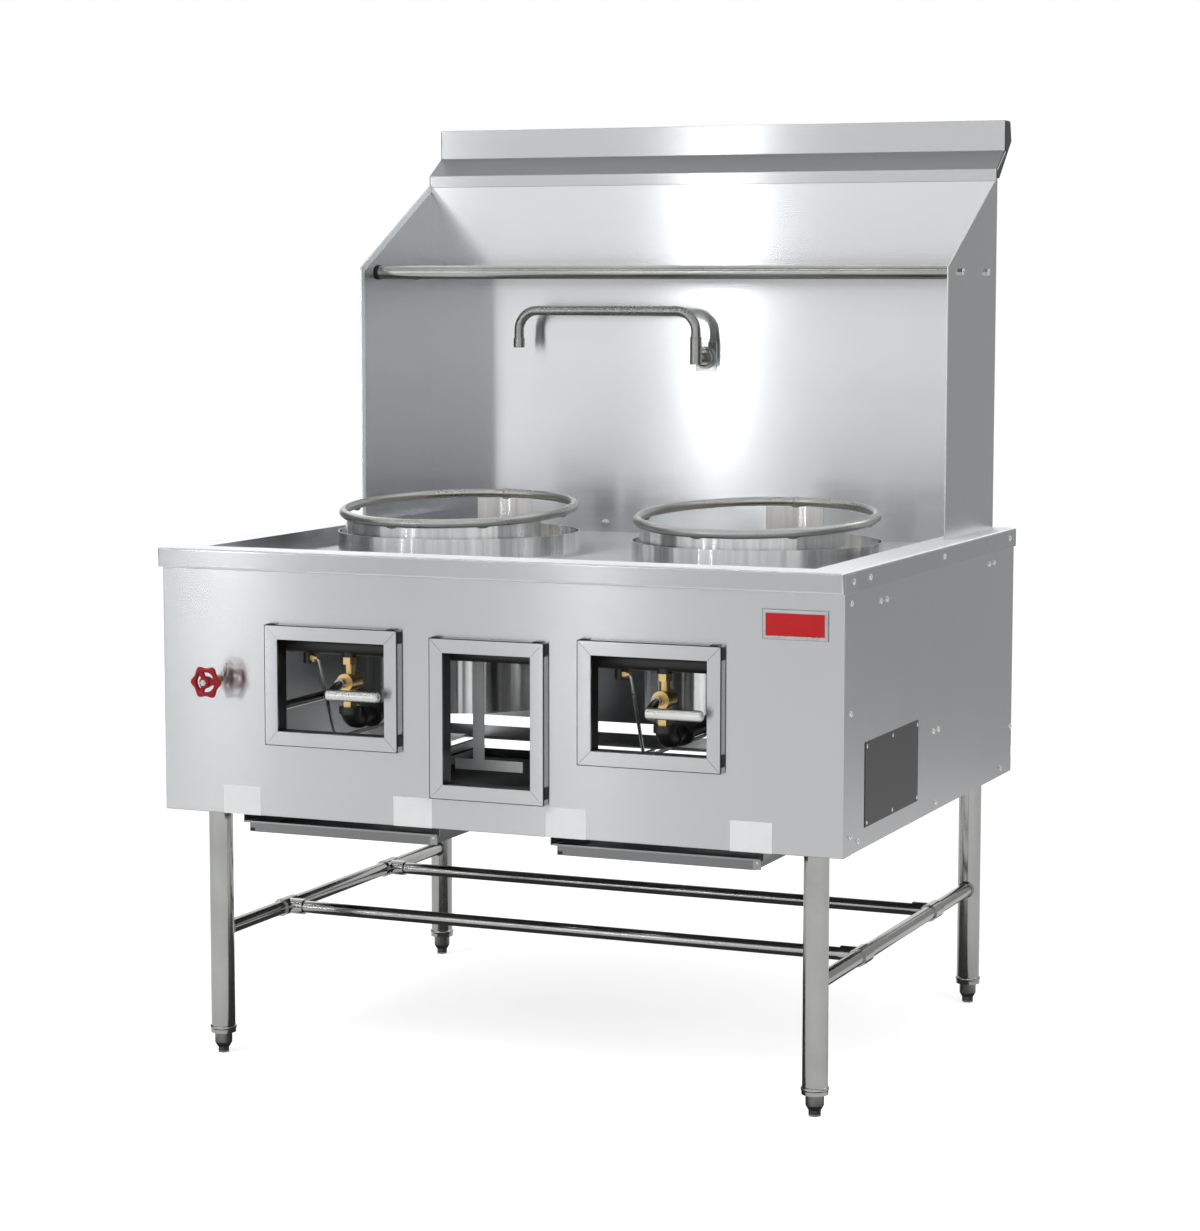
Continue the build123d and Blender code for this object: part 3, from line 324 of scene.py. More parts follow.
def brushed_steel(tree, colour, roughness, ripple_and_streaks=0.0, wave=1.0, painted_level_light=1.0):
    """Brushed sheet: fine lines, drawn-out highlights, slow waves and handling marks, with painted
    highlight streaks and painted level shade where asked.
    """
    steel = bpy.context.scene.wok_steel
    coords = add(tree, "ShaderNodeTexCoord")
    place = coords.outputs["Object"]
    facing = add(tree, "ShaderNodeSeparateXYZ", {0: coords.outputs["Normal"]})
    flat = calc(tree, "ABSOLUTE", facing.outputs["Z"])
    upright = calc(tree, "SUBTRACT", 1.0, flat)
    fine, run = 1.0 / steel.grain_pitch, 1.0 / steel.grain_run
    upright_lines = noise(tree, place, (run, run, fine), *BRUSH_DETAIL)
    flat_lines = noise(tree, place, (run, fine, run), *BRUSH_DETAIL)
    lines = blend(tree, flat, upright_lines, flat_lines)
    marks = noise(tree, place, *HANDLING_MARKS)
    darker, lighter = remap(tree, lines, 0.0, 0.8), remap(tree, lines, 0.2, 1.0)
    tone = blend(tree, remap(tree, marks), darker, lighter)
    look = two_tone(tree, tone, colour, 0.965, 1.03)
    # A rolled sheet gets upright streaks of painted highlight, from a darker to a lighter shade.
    if ripple_and_streaks:
        painted_streaks = remap(tree, noise(tree, place, *PAINTED_STREAKS), 0.0, 1.0, 0.36, 0.64)
        look = tint(tree, 0.6, look, two_tone(tree, painted_streaks, colour, 0.6, 1.4))
    # Level faces get a painted lighter or darker shade: painted light on the rim's top, painted shade
    # on the deflector.
    if painted_level_light != 1.0:
        look = tint(tree, flat, look, two_tone(tree, tone, colour, painted_level_light, painted_level_light))
    line_roughness = remap(tree, lines, roughness - 0.02, roughness + 0.02)
    mark_roughness = remap(tree, marks, -0.02, 0.02)
    flat_roughness = remap(tree, flat, 0.0, 0.2, 0.5, 1.0)
    mark_roughness = calc(tree, "ADD", mark_roughness, flat_roughness)
    normal = bump(tree, noise(tree, place, *SLOW_WAVES), steel.wave_height * wave)
    if ripple_and_streaks:
        ripples = noise(tree, place, *ROLLED_RIPPLES)
        normal = bump(tree, ripples, steel.ripple_height * ripple_and_streaks, normal)
    close_finish(tree, {
        "Base Color": look,
        "Roughness": calc(tree, "ADD", line_roughness, mark_roughness),
        "Normal": bump(tree, lines, BRUSH_DEPTH, normal),
        "Tangent": add(tree, "ShaderNodeCombineXYZ", {1: flat, 2: upright}).outputs[0],
        "Metallic": 1.0,
        "Anisotropic": steel.anisotropy,
    })


def polished_metal(tree, colour, roughness, cells=9.0, depth=0.00004):
    """Drawn or plated metal: soft clouds in colour and roughness, and a faint unevenness."""
    place = add(tree, "ShaderNodeTexCoord").outputs["Object"]
    clouds = noise(tree, place, (cells, cells, cells), *BRUSH_DETAIL)
    grain = noise(tree, place, *PLATING_GRAIN)
    cloud_roughness = remap(tree, clouds, -0.03, 0.03)
    grain_roughness = remap(tree, grain, roughness - 0.03, roughness + 0.03)
    close_finish(tree, {
        "Base Color": two_tone(tree, remap(tree, clouds), colour, 0.88, 1.08),
        "Roughness": calc(tree, "ADD", cloud_roughness, grain_roughness),
        "Normal": bump(tree, clouds, depth),
        "Metallic": 1.0,
    })


def coated(tree, colour, roughness, grains, depth, spread, gloss=0.5):
    """Paint, cast iron, paper or clay: a rough skin with grit and tone changes."""
    place = add(tree, "ShaderNodeTexCoord").outputs["Object"]
    clouds = noise(tree, place, *PAINT_CLOUDS)
    skin = noise(tree, place, (grains, grains, grains), 3.0, 0.6)
    close_finish(tree, {
        "Base Color": two_tone(tree, remap(tree, clouds), colour, 1.0 - spread, 1.0 + spread),
        "Roughness": remap(tree, skin, roughness - 0.08, roughness + 0.08),
        "Normal": bump(tree, skin, depth),
        "Specular IOR Level": gloss,
    })


def finish(name):
    """The material of that name, made the first time that it is asked for."""
    if name in bpy.data.materials:
        return bpy.data.materials[name]
    steel, paint = bpy.context.scene.wok_steel, bpy.context.scene.wok_paint
    material = bpy.data.materials.new(name)
    tree = new_tree(material)
    if name in SHEET_FINISHES:
        shade, roughness, *rest = SHEET_FINISHES[name]
        roughness = roughness or steel.sheet_roughness
        brushed_steel(tree, shaded(steel.sheet_colour, shade), roughness, *rest)
    elif name in METAL_FINISHES:
        source, shade, roughness, *rest = METAL_FINISHES[name]
        colour = getattr(steel if hasattr(steel, source) else paint, source)
        polished_metal(tree, shaded(colour, shade), roughness or steel.tube_roughness, *rest)
    else:
        coated(tree, getattr(paint, name), *COATED_FINISHES[name])
    return material


def paint_nodes(name, *nodes):
    """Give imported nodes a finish."""
    for node in nodes:
        mesh = NODES[node].data
        mesh.materials.clear()
        mesh.materials.append(finish(name))


# ---------------------------------------------------------------- mesh helpers


def near(value, target):
    """Whether two places are the same but for rounding."""
    return abs(value - target) < SLACK


def mm(*points):
    """Points that are given in millimetres."""
    return [tuple(value / 1000 for value in point) for point in points]


def around(steps):
    """The angles of even steps round a circle."""
    return [2 * math.pi * step / steps for step in range(steps)]


def spoke(angle, second=UP):
    """The way out from a centre, at an angle from x towards a second axis."""
    return Vector((math.cos(angle), 0, 0)) + Vector(second) * math.sin(angle)


def middle_and_half(low, high):
    """The middle and the half size of a box."""
    return (low + high) / 2, (high - low) / 2


def middle_of(node):
    """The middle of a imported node's box."""
    return middle_and_half(*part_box(node))[0]


def new_object(name, data):
    """A new object in the scene."""
    item = bpy.data.objects.new(name, data)
    bpy.context.scene.collection.objects.link(item)
    return item


def new_mesh(name, form, material):
    """The mesh of a bmesh, in one material."""
    mesh = bpy.data.meshes.new(name)
    form.to_mesh(mesh)
    form.free()
    mesh.materials.append(material)
    return mesh


def make_piece(name, form, material, like, stands_for=(), sharp=35.0):
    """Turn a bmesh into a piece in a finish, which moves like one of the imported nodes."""
    bmesh.ops.recalc_face_normals(form, faces=form.faces)
    mesh = new_mesh(name, form, finish(material))
    mesh.shade_smooth()
    mesh.set_sharp_from_angle(angle=math.radians(sharp))
    piece = new_object(name, mesh)
    even = piece.modifiers.new("even_shading", "WEIGHTED_NORMAL")
    even.weight = 100
    even.keep_sharp = True
    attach(piece, BODY_OF[like])
    if stands_for:
        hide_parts(*stands_for)
    return piece


def standing(place, axis):
    """The matrix that takes what is made along z to an axis through a place."""
    turn = Vector(UP).rotation_difference(Vector(axis)).to_matrix().to_4x4()
    return Matrix.Translation(place) @ turn


def join_rings(form, rings, closed=False, capped=False):
    """Join rings of points, or single points, one to the next."""
    rings = [[form.verts.new(point) for point in ring] for ring in rings]
    steps = max(len(ring) for ring in rings)
    for lower, upper in zip(rings, rings[1:] + rings[:1] if closed else rings[1:]):
        for step in range(steps):
            after = (step + 1) % steps
            corners = [lower[step % len(lower)], lower[after % len(lower)]]
            corners += [upper[after % len(upper)], upper[step % len(upper)]]
            unique = list(dict.fromkeys(corners))
            if len(unique) > 2:
                form.faces.new(unique)
    if capped:
        form.faces.new(rings[0])
        form.faces.new(reversed(rings[-1]))


def round_off(form, vertices, radius):
    """Round every edge that ends on the vertices."""
    edges = list({edge for vertex in vertices for edge in vertex.link_edges})
    bmesh.ops.bevel(form, geom=edges, offset=radius, segments=2, affect="EDGES", profile=0.5)


def block(form, low, high, rounding):
    """Add a block between two corners, with its edges rounded."""
    low, high = Vector(low), Vector(high)
    matrix = Matrix.Translation((low + high) / 2) @ Matrix.Diagonal((*(high - low), 1.0))
    round_off(form, bmesh.ops.create_cube(form, size=1.0, matrix=matrix)["verts"], rounding)


def plate(form, outline, plane_x, thickness, rounding):
    """Add a plate with an outline of (y, z) points, from one x plane to another."""
    made = [form.verts.new((plane_x, y, z)) for y, z in outline]
    grown = bmesh.ops.extrude_face_region(form, geom=[form.faces.new(made)])["geom"]
    moved = [item for item in grown if isinstance(item, bmesh.types.BMVert)]
    bmesh.ops.translate(form, verts=moved, vec=(thickness, 0, 0))
    round_off(form, made + moved, rounding)


def lathe(form, profile, place, axis=UP, steps=32):
    """Turn a profile of (radius, height) points about an axis through a place."""
    stand = standing(place, axis)
    rings = []
    for radius, height in profile:
        turns = around(steps if radius else 1)
        rings.append([stand @ (spoke(turn, BACK) * radius + Vector((0, 0, height))) for turn in turns])
    join_rings(form, rings, closed=len(rings[0]) > 1 and len(rings[-1]) > 1)


def swept(form, path, section):
    """Sweep a section of (across, up) points through frames of (origin, across, up) vectors."""
    rings = [[origin + across * u + up * v for u, v in section] for origin, across, up in path]
    join_rings(form, rings, capped=True)


def mitred_frame(form, centre, half_x, half_z, profile, gap=0.0):
    """Add four mitred bars round an opening, from a profile of (across, depth) points."""
    right, up = Vector(RIGHT), Vector(UP)
    level, upright = (half_x, half_z), (half_z, half_x)
    bars = ((right, -up, *level), (right, up, *level), (up, -right, *upright), (up, right, *upright))
    for along, out, half_length, half_across in bars:
        rings = []
        for end in (-1, 1):
            corner = centre + out * half_across + along * end * (half_length - gap / 2)
            mitre = out + along * end
            rings.append([corner + mitre * a + Vector((0, depth, 0)) for a, depth in profile])
        join_rings(form, rings, capped=True)


def pan_head(form, place, axis, radius, height, cross=True):
    """Add a domed screw head with a cross recess, or a plain rivet head, that stands on a place."""
    dome = (
        (1.0, 0.0), (1.0, 0.45), (0.93, 0.72), (0.8, 0.88), (0.62, 0.96),
        (0.5, 0.98), (0.36, 1.0), (0.24, 1.0), (0.14, 1.0),
    )
    slot_reach, slot_half_width, slot_floor = 0.55, 0.13, 0.35
    stand = standing(place, axis)
    rings = []
    for share, rise in dome:
        ring = []
        for angle in around(32):
            x, y = share * math.cos(angle), share * math.sin(angle)
            sunk = cross and share < slot_reach and min(abs(x), abs(y)) < slot_half_width
            level = height * (slot_floor if sunk else rise)
            ring.append(stand @ Vector((x * radius, y * radius, level)))
        rings.append(ring)
    join_rings(form, rings, capped=True)


def node_form(node):
    """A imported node's mesh with its flat faces made whole again."""
    form = bmesh.new()
    form.from_mesh(NODES[node].data)
    bmesh.ops.remove_doubles(form, verts=form.verts, dist=1e-5)
    flat = math.radians(0.5)
    bmesh.ops.dissolve_limit(form, angle_limit=flat, verts=form.verts, edges=form.edges)
    return form


def cut_form(node, front):
    """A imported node's mesh, cut off square at a front plane and closed again."""
    form = node_form(node)
    every = [*form.verts, *form.edges, *form.faces]
    plane = {"plane_co": (0, front, 0), "plane_no": FORWARD}
    bmesh.ops.bisect_plane(form, geom=every, clear_outer=True, **plane)
    bmesh.ops.holes_fill(form, edges=[edge for edge in form.edges if edge.is_boundary])
    return form


def bend_edges(form, radius, chosen):
    """Round the sharp edges that a test on their two ends chooses."""
    edges = []
    for edge in form.edges:
        sharp = len(edge.link_faces) == 2 and edge.calc_face_angle(0.0) >= math.radians(40)
        if sharp and chosen(*(vertex.co for vertex in edge.verts)):
            edges.append(edge)
    bmesh.ops.bevel(
        form, geom=edges, offset=radius, segments=3, affect="EDGES", profile=0.5, clamp_overlap=True
    )


def islands(node):
    """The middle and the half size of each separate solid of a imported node."""
    form = bmesh.new()
    form.from_mesh(NODES[node].data)
    bmesh.ops.remove_doubles(form, verts=form.verts, dist=1e-6)
    seen, boxes = set(), []
    for start in form.verts:
        solid, waiting = [], [start]
        while waiting:
            vertex = waiting.pop()
            if vertex not in seen:
                seen.add(vertex)
                solid.append(vertex.co.copy())
                waiting += [edge.other_vert(vertex) for edge in vertex.link_edges]
        if solid:
            corners = (Vector(tuple(map(pick, *solid))) for pick in (min, max))
            boxes.append(middle_and_half(*corners))
    form.free()
    return boxes


# ---------------------------------------------------------------- operators


class WOK_OT_cabinet(Operator):
    """Round the bends of the cabinet's sheets and give them their brushed finish"""

    bl_idname = "wok.cabinet"
    bl_label = "Cabinet sheets"

    def execute(self, context):
        detail = context.scene.wok_detail
        paint_nodes("brushed_sheet", "left_side_panel", "right_side_panel", "rear_panel")
        paint_nodes("brushed_sheet", "rear_bottom_rail")
        paint_nodes("deck_sheet", "deck_plate")
        paint_nodes("mill_sheet", "leg_gussets")
        self.bend_sheet("top_rim", detail.rim_bend, "rim_sheet", True)
        self.bend_sheet("front_panel", detail.sheet_bend, "front_sheet", False)
        self.wrap_corners(detail)
        return {"FINISHED"}

    def bend_sheet(self, node, radius, material, top_bends):
        """Round the outer bends of a sheet, those at its front and, where asked, at its top."""
        low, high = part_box(node)

        def outer_bend(first, second):
            on_top = near(first.z, high.z) and near(second.z, high.z)
            at_bottom = near(first.z, low.z) and near(second.z, low.z)
            front = near(first.y, low.y) and near(second.y, low.y)
            side = near(abs(first.x), high.x) and near(abs(second.x), high.x)
            over = top_bends and on_top and (front or side)
            return over or (front and (side or at_bottom))

        form = node_form(node)
        bend_edges(form, radius, outer_bend)
        make_piece(f"{node}_sheet", form, material, node, [node])

    def wrap_corners(self, detail):
        """The front lip's ends, folded round onto the side lips."""
        low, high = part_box("top_rim")
        sunk, thickness, cut_corner = 0.0004, 0.0012, 0.006
        front, back = low.y + detail.rim_bend, low.y + detail.wrap_length
        top, bottom = high.z - detail.rim_bend, low.z
        outline = [(front, bottom), (back, bottom), (back, top - cut_corner)]
        outline += [(back - cut_corner, top), (front, top)]
        form = bmesh.new()
        for side in SIDES.values():
            plate(form, outline, side * (high.x - sunk), side * thickness, 0.0003)
        make_piece("rim_corner_wraps", form, "brushed_sheet", "top_rim")


class WOK_OT_window_frames(Operator):
    """Make each window frame from four mitred bars of folded sheet"""

    bl_idname = "wok.window_frames"
    bl_label = "Window frames"

    def execute(self, context):
        for name in ("left", "centre", "right"):
            self.make_frame(f"{name}_window_frame", context.scene.wok_detail)
        return {"FINISHED"}

    def make_frame(self, node, detail):
        low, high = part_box(node)
        centre, half = middle_and_half(low, high)
        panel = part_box("front_panel")[0].y
        width, proud, sheet = detail.frame_width, detail.frame_depth, detail.sheet
        bend, lip, front = 0.0009, 0.004, panel - detail.frame_depth
        sleeve = high.y - front
        rounding = [math.radians(angle) for angle in (0, 30, 60, 90)]
        bars = [(0.0, lip)]
        bars += [(bend * (1 - math.cos(a)), bend * (1 - math.sin(a))) for a in rounding]
        bars += [(width - bend * (1 - math.sin(a)), bend * (1 - math.cos(a))) for a in rounding]
        bars += [(width, proud), (width - sheet, proud), (width - sheet, sheet)]
        bars += [(sheet, sheet), (sheet, lip)]
        inner, outer, back = width - 0.0011, width + 0.0002, 0.0035
        edge = [(inner, -0.0001), (outer, -0.0001), (outer, back), (inner, back)]
        start = lip + 0.0002
        reveal = [(0.0, start), (0.0, sleeve), (sheet, sleeve), (sheet, start)]
        centre.y = front
        # The edge is a dark strip of painted shadow round the frame's outline; the reveal is the sleeve
        # inside the opening, painted dark for its shade.
        for name, look, profile, gap, stands_for in (
            ("bars", "front_sheet", bars, detail.mitre_gap, [node]),
            ("edge", "shade_sheet", edge, 0.0, ()),
            ("reveal", "shade_sheet", reveal, 0.0, ()),
        ):
            form = bmesh.new()
            mitred_frame(form, centre, half.x - width, half.z - width, profile, gap)
            make_piece(f"{node}_{name}", form, look, node, stands_for)
        self.add_lugs(node, low, high, front, panel)

    def add_lugs(self, node, low, high, front, panel):
        """The small lugs that hold a frame, along its top and its right side."""
        form = bmesh.new()
        half_width, half_height, under, rounding = 0.007, 0.010, 0.0002, 0.0003
        for x in (low.x + 0.010, high.x - 0.013):
            corner = (x - half_width, front + 0.002, high.z - under)
            block(form, corner, (x + half_width, panel, high.z + 0.0016), rounding)
        for z in (low.z + 0.020, high.z - 0.012):
            corner = (high.x - under, front + 0.003, z - half_height)
            block(form, corner, (high.x + 0.0014, panel, z + half_height), rounding)
        # The lugs are as dark as the painted shade in the gaps.
        make_piece(f"{node}_lugs", form, "dark_gap", node)


class WOK_OT_cooking_rings(Operator):
    """Make the wok rings of bent tube with their welds, and finish the rolled sheets below them"""

    bl_idname = "wok.cooking_rings"
    bl_label = "Cooking rings"

    def execute(self, context):
        # The rolled sheets are painted lighter, with upright streaks of painted highlight.
        paint_nodes("rolled_sheet", "deck_collars", "left_heat_shield", "right_heat_shield")
        paint_nodes("rolled_sheet", "rear_heat_guards")
        for name in SIDES:
            self.make_ring(f"{name}_wok_ring", context.scene.wok_detail)
        return {"FINISHED"}

    def make_ring(self, node, detail):
        centre, half = middle_and_half(*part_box(node))
        tube, radius = detail.ring_tube, half.x - detail.ring_tube
        tilt = Matrix.Rotation(detail.ring_tilt, 3, "X")
        form = bmesh.new()
        rings = []
        for angle in around(160):
            out, up = tilt @ spoke(angle, BACK), tilt @ Vector(UP)
            section = [(radius + tube * math.cos(a), tube * math.sin(a)) for a in around(24)]
            rings.append([centre + out * across + up * rise for across, rise in section])
        join_rings(form, rings, closed=True)
        rear, along = centre + tilt @ Vector((0, radius, 0)), tilt @ Vector((-1, 0, 0))
        swell = tube + 0.0012
        bead = [(tube, -0.004), (swell, -0.0018), (swell + 0.0004, 0.0), (swell, 0.0018), (tube, 0.004)]
        lathe(form, bead, rear, along, 24)
        make_piece(f"{node}_tube", form, "satin_tube", node, [node])
        self.weld_ring(node, centre, radius, tilt, detail)

    def weld_ring(self, node, centre, radius, tilt, detail):
        """The weld lumps that hold a ring to the sheets below it."""
        form = bmesh.new()
        half_height, half_depth = 0.0026, 0.0040
        up = (tilt @ Vector(UP)).normalized()
        for degrees in (-100.0, -53.0, 90.0, 180.0, 0.0):
            angle = math.radians(degrees)
            out = spoke(angle, BACK)
            along = (tilt @ spoke(angle + math.pi / 2, BACK)).normalized()
            across = along.cross(up).normalized()
            below = out * (radius - 0.002) + Vector((0, 0, -detail.ring_tube - 0.0003))
            axes = Matrix((along * detail.tab_width / 2, up * half_height, across * half_depth))
            matrix = Matrix.Translation(centre + tilt @ below) @ axes.transposed().to_4x4()
            bmesh.ops.create_uvsphere(form, u_segments=14, v_segments=9, radius=1.0, matrix=matrix)
        make_piece(f"{node}_welds", form, "weld", node, (), 80.0)


class WOK_OT_backsplash(Operator):
    """Fold the edges of the wings and the top deflector, and finish the back wall and the rack"""

    bl_idname = "wok.backsplash"
    bl_label = "Backsplash"

    def execute(self, context):
        detail = context.scene.wok_detail
        paint_nodes("wall_sheet", "backsplash_wall")
        paint_nodes("brushed_sheet", "left_backsplash_wing", "right_backsplash_wing")
        paint_nodes("black_paint", "deflector_end_plates")
        paint_nodes("polished_tube", "rack_pipes")
        form = node_form("top_deflector")
        bend_edges(form, detail.sheet_bend, lambda a, b: near(a.z, b.z) and near(a.y, b.y))
        make_piece("top_deflector_sheet", form, "deflector_sheet", "top_deflector", ["top_deflector"])
        self.edge_deflector()
        for name, side in SIDES.items():
            self.hem_wing(f"{name}_backsplash_wing", f"{name}_wing_hem", side, detail.hem_width)
        self.ring_rack()
        self.screw_wall()
        return {"FINISHED"}

    def edge_deflector(self):
        """The narrow flap at each end of the deflector, proud of its sloping face: the left one black
        for painted shade, the right one light for painted highlight.
        """
        low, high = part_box("deflector_end_plates")
        slope = [(low.y, 1.5350), (0.5275, 1.5700), (0.5294, 1.5671), (low.y + 0.0019, 1.5321)]
        for (name, side), look in zip(SIDES.items(), ("black_paint", "hem_sheet")):
            form = bmesh.new()
            plate(form, slope, side * (high.x - 0.0008), side * 0.0010, 0.0002)
            make_piece(f"{name}_deflector_flap", form, look, "deflector_end_plates")

    def hem_wing(self, node, name, side, width):
        """The front edge of a wing, folded flat onto itself, in a lighter sheet: painted highlight on
        the fold.
        """
        low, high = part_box(node)
        above_rack, clear = 0.0215, 0.0005
        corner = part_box("rack_pipes")[0].z + above_rack
        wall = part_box("backsplash_wall")[0].y
        inner = (low.x if side > 0 else high.x) + side * 0.0001
        slope = math.atan2(high.z - corner, wall - low.y)
        knee = corner - width * math.tan((math.pi / 2 - slope) / 2)
        outline = [(low.y, low.z), (low.y, corner), (wall - clear, high.z - clear)]
        outline += [(wall - clear, high.z - width / math.cos(slope)), (low.y + width, knee)]
        outline.append((low.y + width, low.z))
        form = bmesh.new()
        plate(form, outline, inner, -side * 0.0016, 0.0005)
        make_piece(name, form, "hem_sheet", node)

    def ring_rack(self):
        """Dark rings at the ends of the rack pipes: painted shade for the gap there."""
        form = bmesh.new()
        for centre, half in islands("rack_pipes"):
            inner, outer = half.z - 0.001, half.z + 0.0012
            profile = [(inner, 0.0), (outer, 0.0), (outer + 0.0004, 0.002)]
            profile += [(outer, 0.004), (inner, 0.004)]
            for side in SIDES.values():
                place = (side * (centre.x + half.x - 0.0002), centre.y, centre.z)
                lathe(form, profile, place, (-side, 0, 0), 40)
        make_piece("rack_end_rings", form, "dark_gap", "rack_pipes")

    def screw_wall(self):
        """The round-headed screw low down on the back wall."""
        form = bmesh.new()
        place = (-0.199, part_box("backsplash_wall")[0].y, 0.869)
        pan_head(form, place, FORWARD, 0.0074, 0.0056, False)
        make_piece("wall_screw", form, "screw_steel", "backsplash_wall")


class WOK_OT_faucet(Operator):
    """Bend the spout and finish the faucet on the back wall"""

    bl_idname = "wok.faucet"
    bl_label = "Faucet"

    def execute(self, context):
        paint_nodes("satin_chrome", "faucet_body")
        self.bend_spout()
        low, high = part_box("faucet_body")
        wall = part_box("backsplash_wall")[0].y
        arm_x, arm_z, front = 0.006, low.z + 0.021, wall - 0.0074
        form = bmesh.new()
        corner = (arm_x - 0.019, wall - 0.0018, arm_z - 0.026)
        block(form, corner, (arm_x + 0.0235, wall, arm_z + 0.030), 0.0007)
        make_piece("faucet_backing_plate", form, "brushed_sheet", "faucet_body")
        form = bmesh.new()
        trim = mm((17.2, 0), (17.2, 1.2), (15.5, 1.8), (14.5, 0.6))
        lathe(form, trim, (arm_x, front, arm_z), FORWARD, 48)
        for offset in (0.0132, -0.0132):
            pan_head(form, (arm_x + offset, front, arm_z + 0.0015), FORWARD, 0.0026, 0.0013)
        make_piece("faucet_flange_trim", form, "satin_chrome", "faucet_body")
        form = bmesh.new()
        middle = (arm_x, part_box("faucet_spout")[1].y - 0.008, high.z)
        lathe(form, mm((11.1, -3), (11.7, -2), (11.7, -0.6), (10.8, 0)), middle, UP, 40)
        make_piece("faucet_swivel_lip", form, "satin_chrome", "faucet_body")
        return {"FINISHED"}

    def bend_spout(self):
        """The bent tube of the spout and the sleeve on its end."""
        low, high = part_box("faucet_spout")
        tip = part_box("faucet_nozzle")[0].z
        radius, bend, steps, half_pipe = 0.0092, 0.038, 12, 0.008
        depth = (low.y + high.y) / 2
        right, left = high.x - half_pipe, middle_of("faucet_nozzle").x
        level = high.z - radius - bend
        across = Vector(BACK)
        path = [(Vector((right, depth, low.z)), across, Vector(RIGHT))]
        for centre_x, first in ((right - bend, 0), (left + bend, 90)):
            for step in range(steps + 1):
                out = spoke(math.radians(first + 90 * step / steps))
                path.append((Vector((centre_x, depth, level)) + out * bend, across, out))
        path.append((Vector((left, depth, tip + 0.004)), across, -Vector(RIGHT)))
        form = bmesh.new()
        swept(form, path, [(radius * math.cos(a), radius * math.sin(a)) for a in around(32)])
        make_piece("spout_tube", form, "satin_chrome", "faucet_spout", ["faucet_spout"])
        form = bmesh.new()
        sleeve = mm((0, 3), (8, 3), (8.6, 0), (10.1, 0), (10.8, 0.8), (10.8, 16.8), (10.2, 18), (0, 18))
        lathe(form, sleeve, (left, depth, tip), UP, 40)
        make_piece("spout_tip", form, "satin_chrome", "faucet_nozzle", ["faucet_nozzle"])


class WOK_OT_water_valve(Operator):
    """Cast the red handwheel and finish the water valve and its pipes"""

    bl_idname = "wok.water_valve"
    bl_label = "Water valve"

    def execute(self, context):
        paint_nodes("brass", "water_valve")
        paint_nodes("zinc", "water_valve_stem")
        paint_nodes("polished_tube", "water_pipes")
        self.cast_wheel(context.scene.wok_detail.wheel_lobes)
        self.nut_wheel(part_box("water_handwheel")[0].y)
        return {"FINISHED"}

    def cast_wheel(self, lobes):
        """The lobed rim, the arms and the hub, cast in one."""
        centre, half = middle_and_half(*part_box("water_handwheel"))
        outer, nose, tail = half.x, -half.y, half.y
        inner, half_thickness, valley = outer * 0.57, 0.0054, 0.82
        form = bmesh.new()
        rings = []
        for angle in around(144):
            swell = (0.5 + 0.5 * math.cos(lobes * angle)) ** 1.3
            edge = outer * (valley + (1 - valley) * swell)
            middle, reach = (edge + inner) / 2, (edge - inner) / 2
            section = [(middle + reach * math.cos(a), half_thickness * math.sin(a)) for a in around(16)]
            out = spoke(angle)
            rings.append([centre + out * across + Vector((0, y, 0)) for across, y in section])
        join_rings(form, rings, closed=True)
        section = mm((4.6, 0), (3.6, 3), (0, 4), (-3.6, 3), (-4.6, 0), (-3.6, -3), (0, -4), (3.6, -3))
        for angle in around(lobes // 2):
            along, across = spoke(angle) * (inner + 0.003), spoke(angle + math.pi / 2)
            path = [(centre + along * share, across, Vector(BACK)) for share in (0, 0.5, 1)]
            swept(form, path, section)
        hub = [(0.0, nose), (0.0074, nose), (0.0092, nose + 0.0018), (0.0102, 0.0)]
        hub += [(0.0092, tail - 0.0016), (0.0070, tail), (0.0, tail)]
        lathe(form, hub, centre, BACK, 36)
        wheel = make_piece(
            "handwheel_casting", form, "wheel_red", "water_handwheel", ["water_handwheel"], 60.0
        )
        remesh = wheel.modifiers.new("cast_in_one", "REMESH")
        remesh.mode = "VOXEL"
        remesh.voxel_size = 0.0007
        remesh.use_smooth_shade = True
        soften = wheel.modifiers.new("soft_corners", "SMOOTH")
        soften.factor = 0.5
        soften.iterations = 3

    def nut_wheel(self, front):
        """The stem, cut back into the wheel's hub, and the nut that holds the wheel."""
        form = cut_form("water_valve_stem", front + 0.003)
        make_piece("wheel_stem", form, "zinc", "water_valve_stem", ["water_valve_stem"])
        form = bmesh.new()
        middle, foot = middle_of("water_valve_stem"), front + 0.0003
        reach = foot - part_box("water_valve_stem")[0].y
        profile = mm((0, 0), (5.6, 0), (5.6, 2.6), (4.9, 3.4), (2.4, 3.4))
        profile += [(0.0022, reach - 0.0004), (0.0016, reach), (0.0, reach)]
        lathe(form, profile, (middle.x, foot, middle.z), FORWARD, 6)
        make_piece("wheel_nut", form, "aluminium", "water_handwheel", (), 30.0)


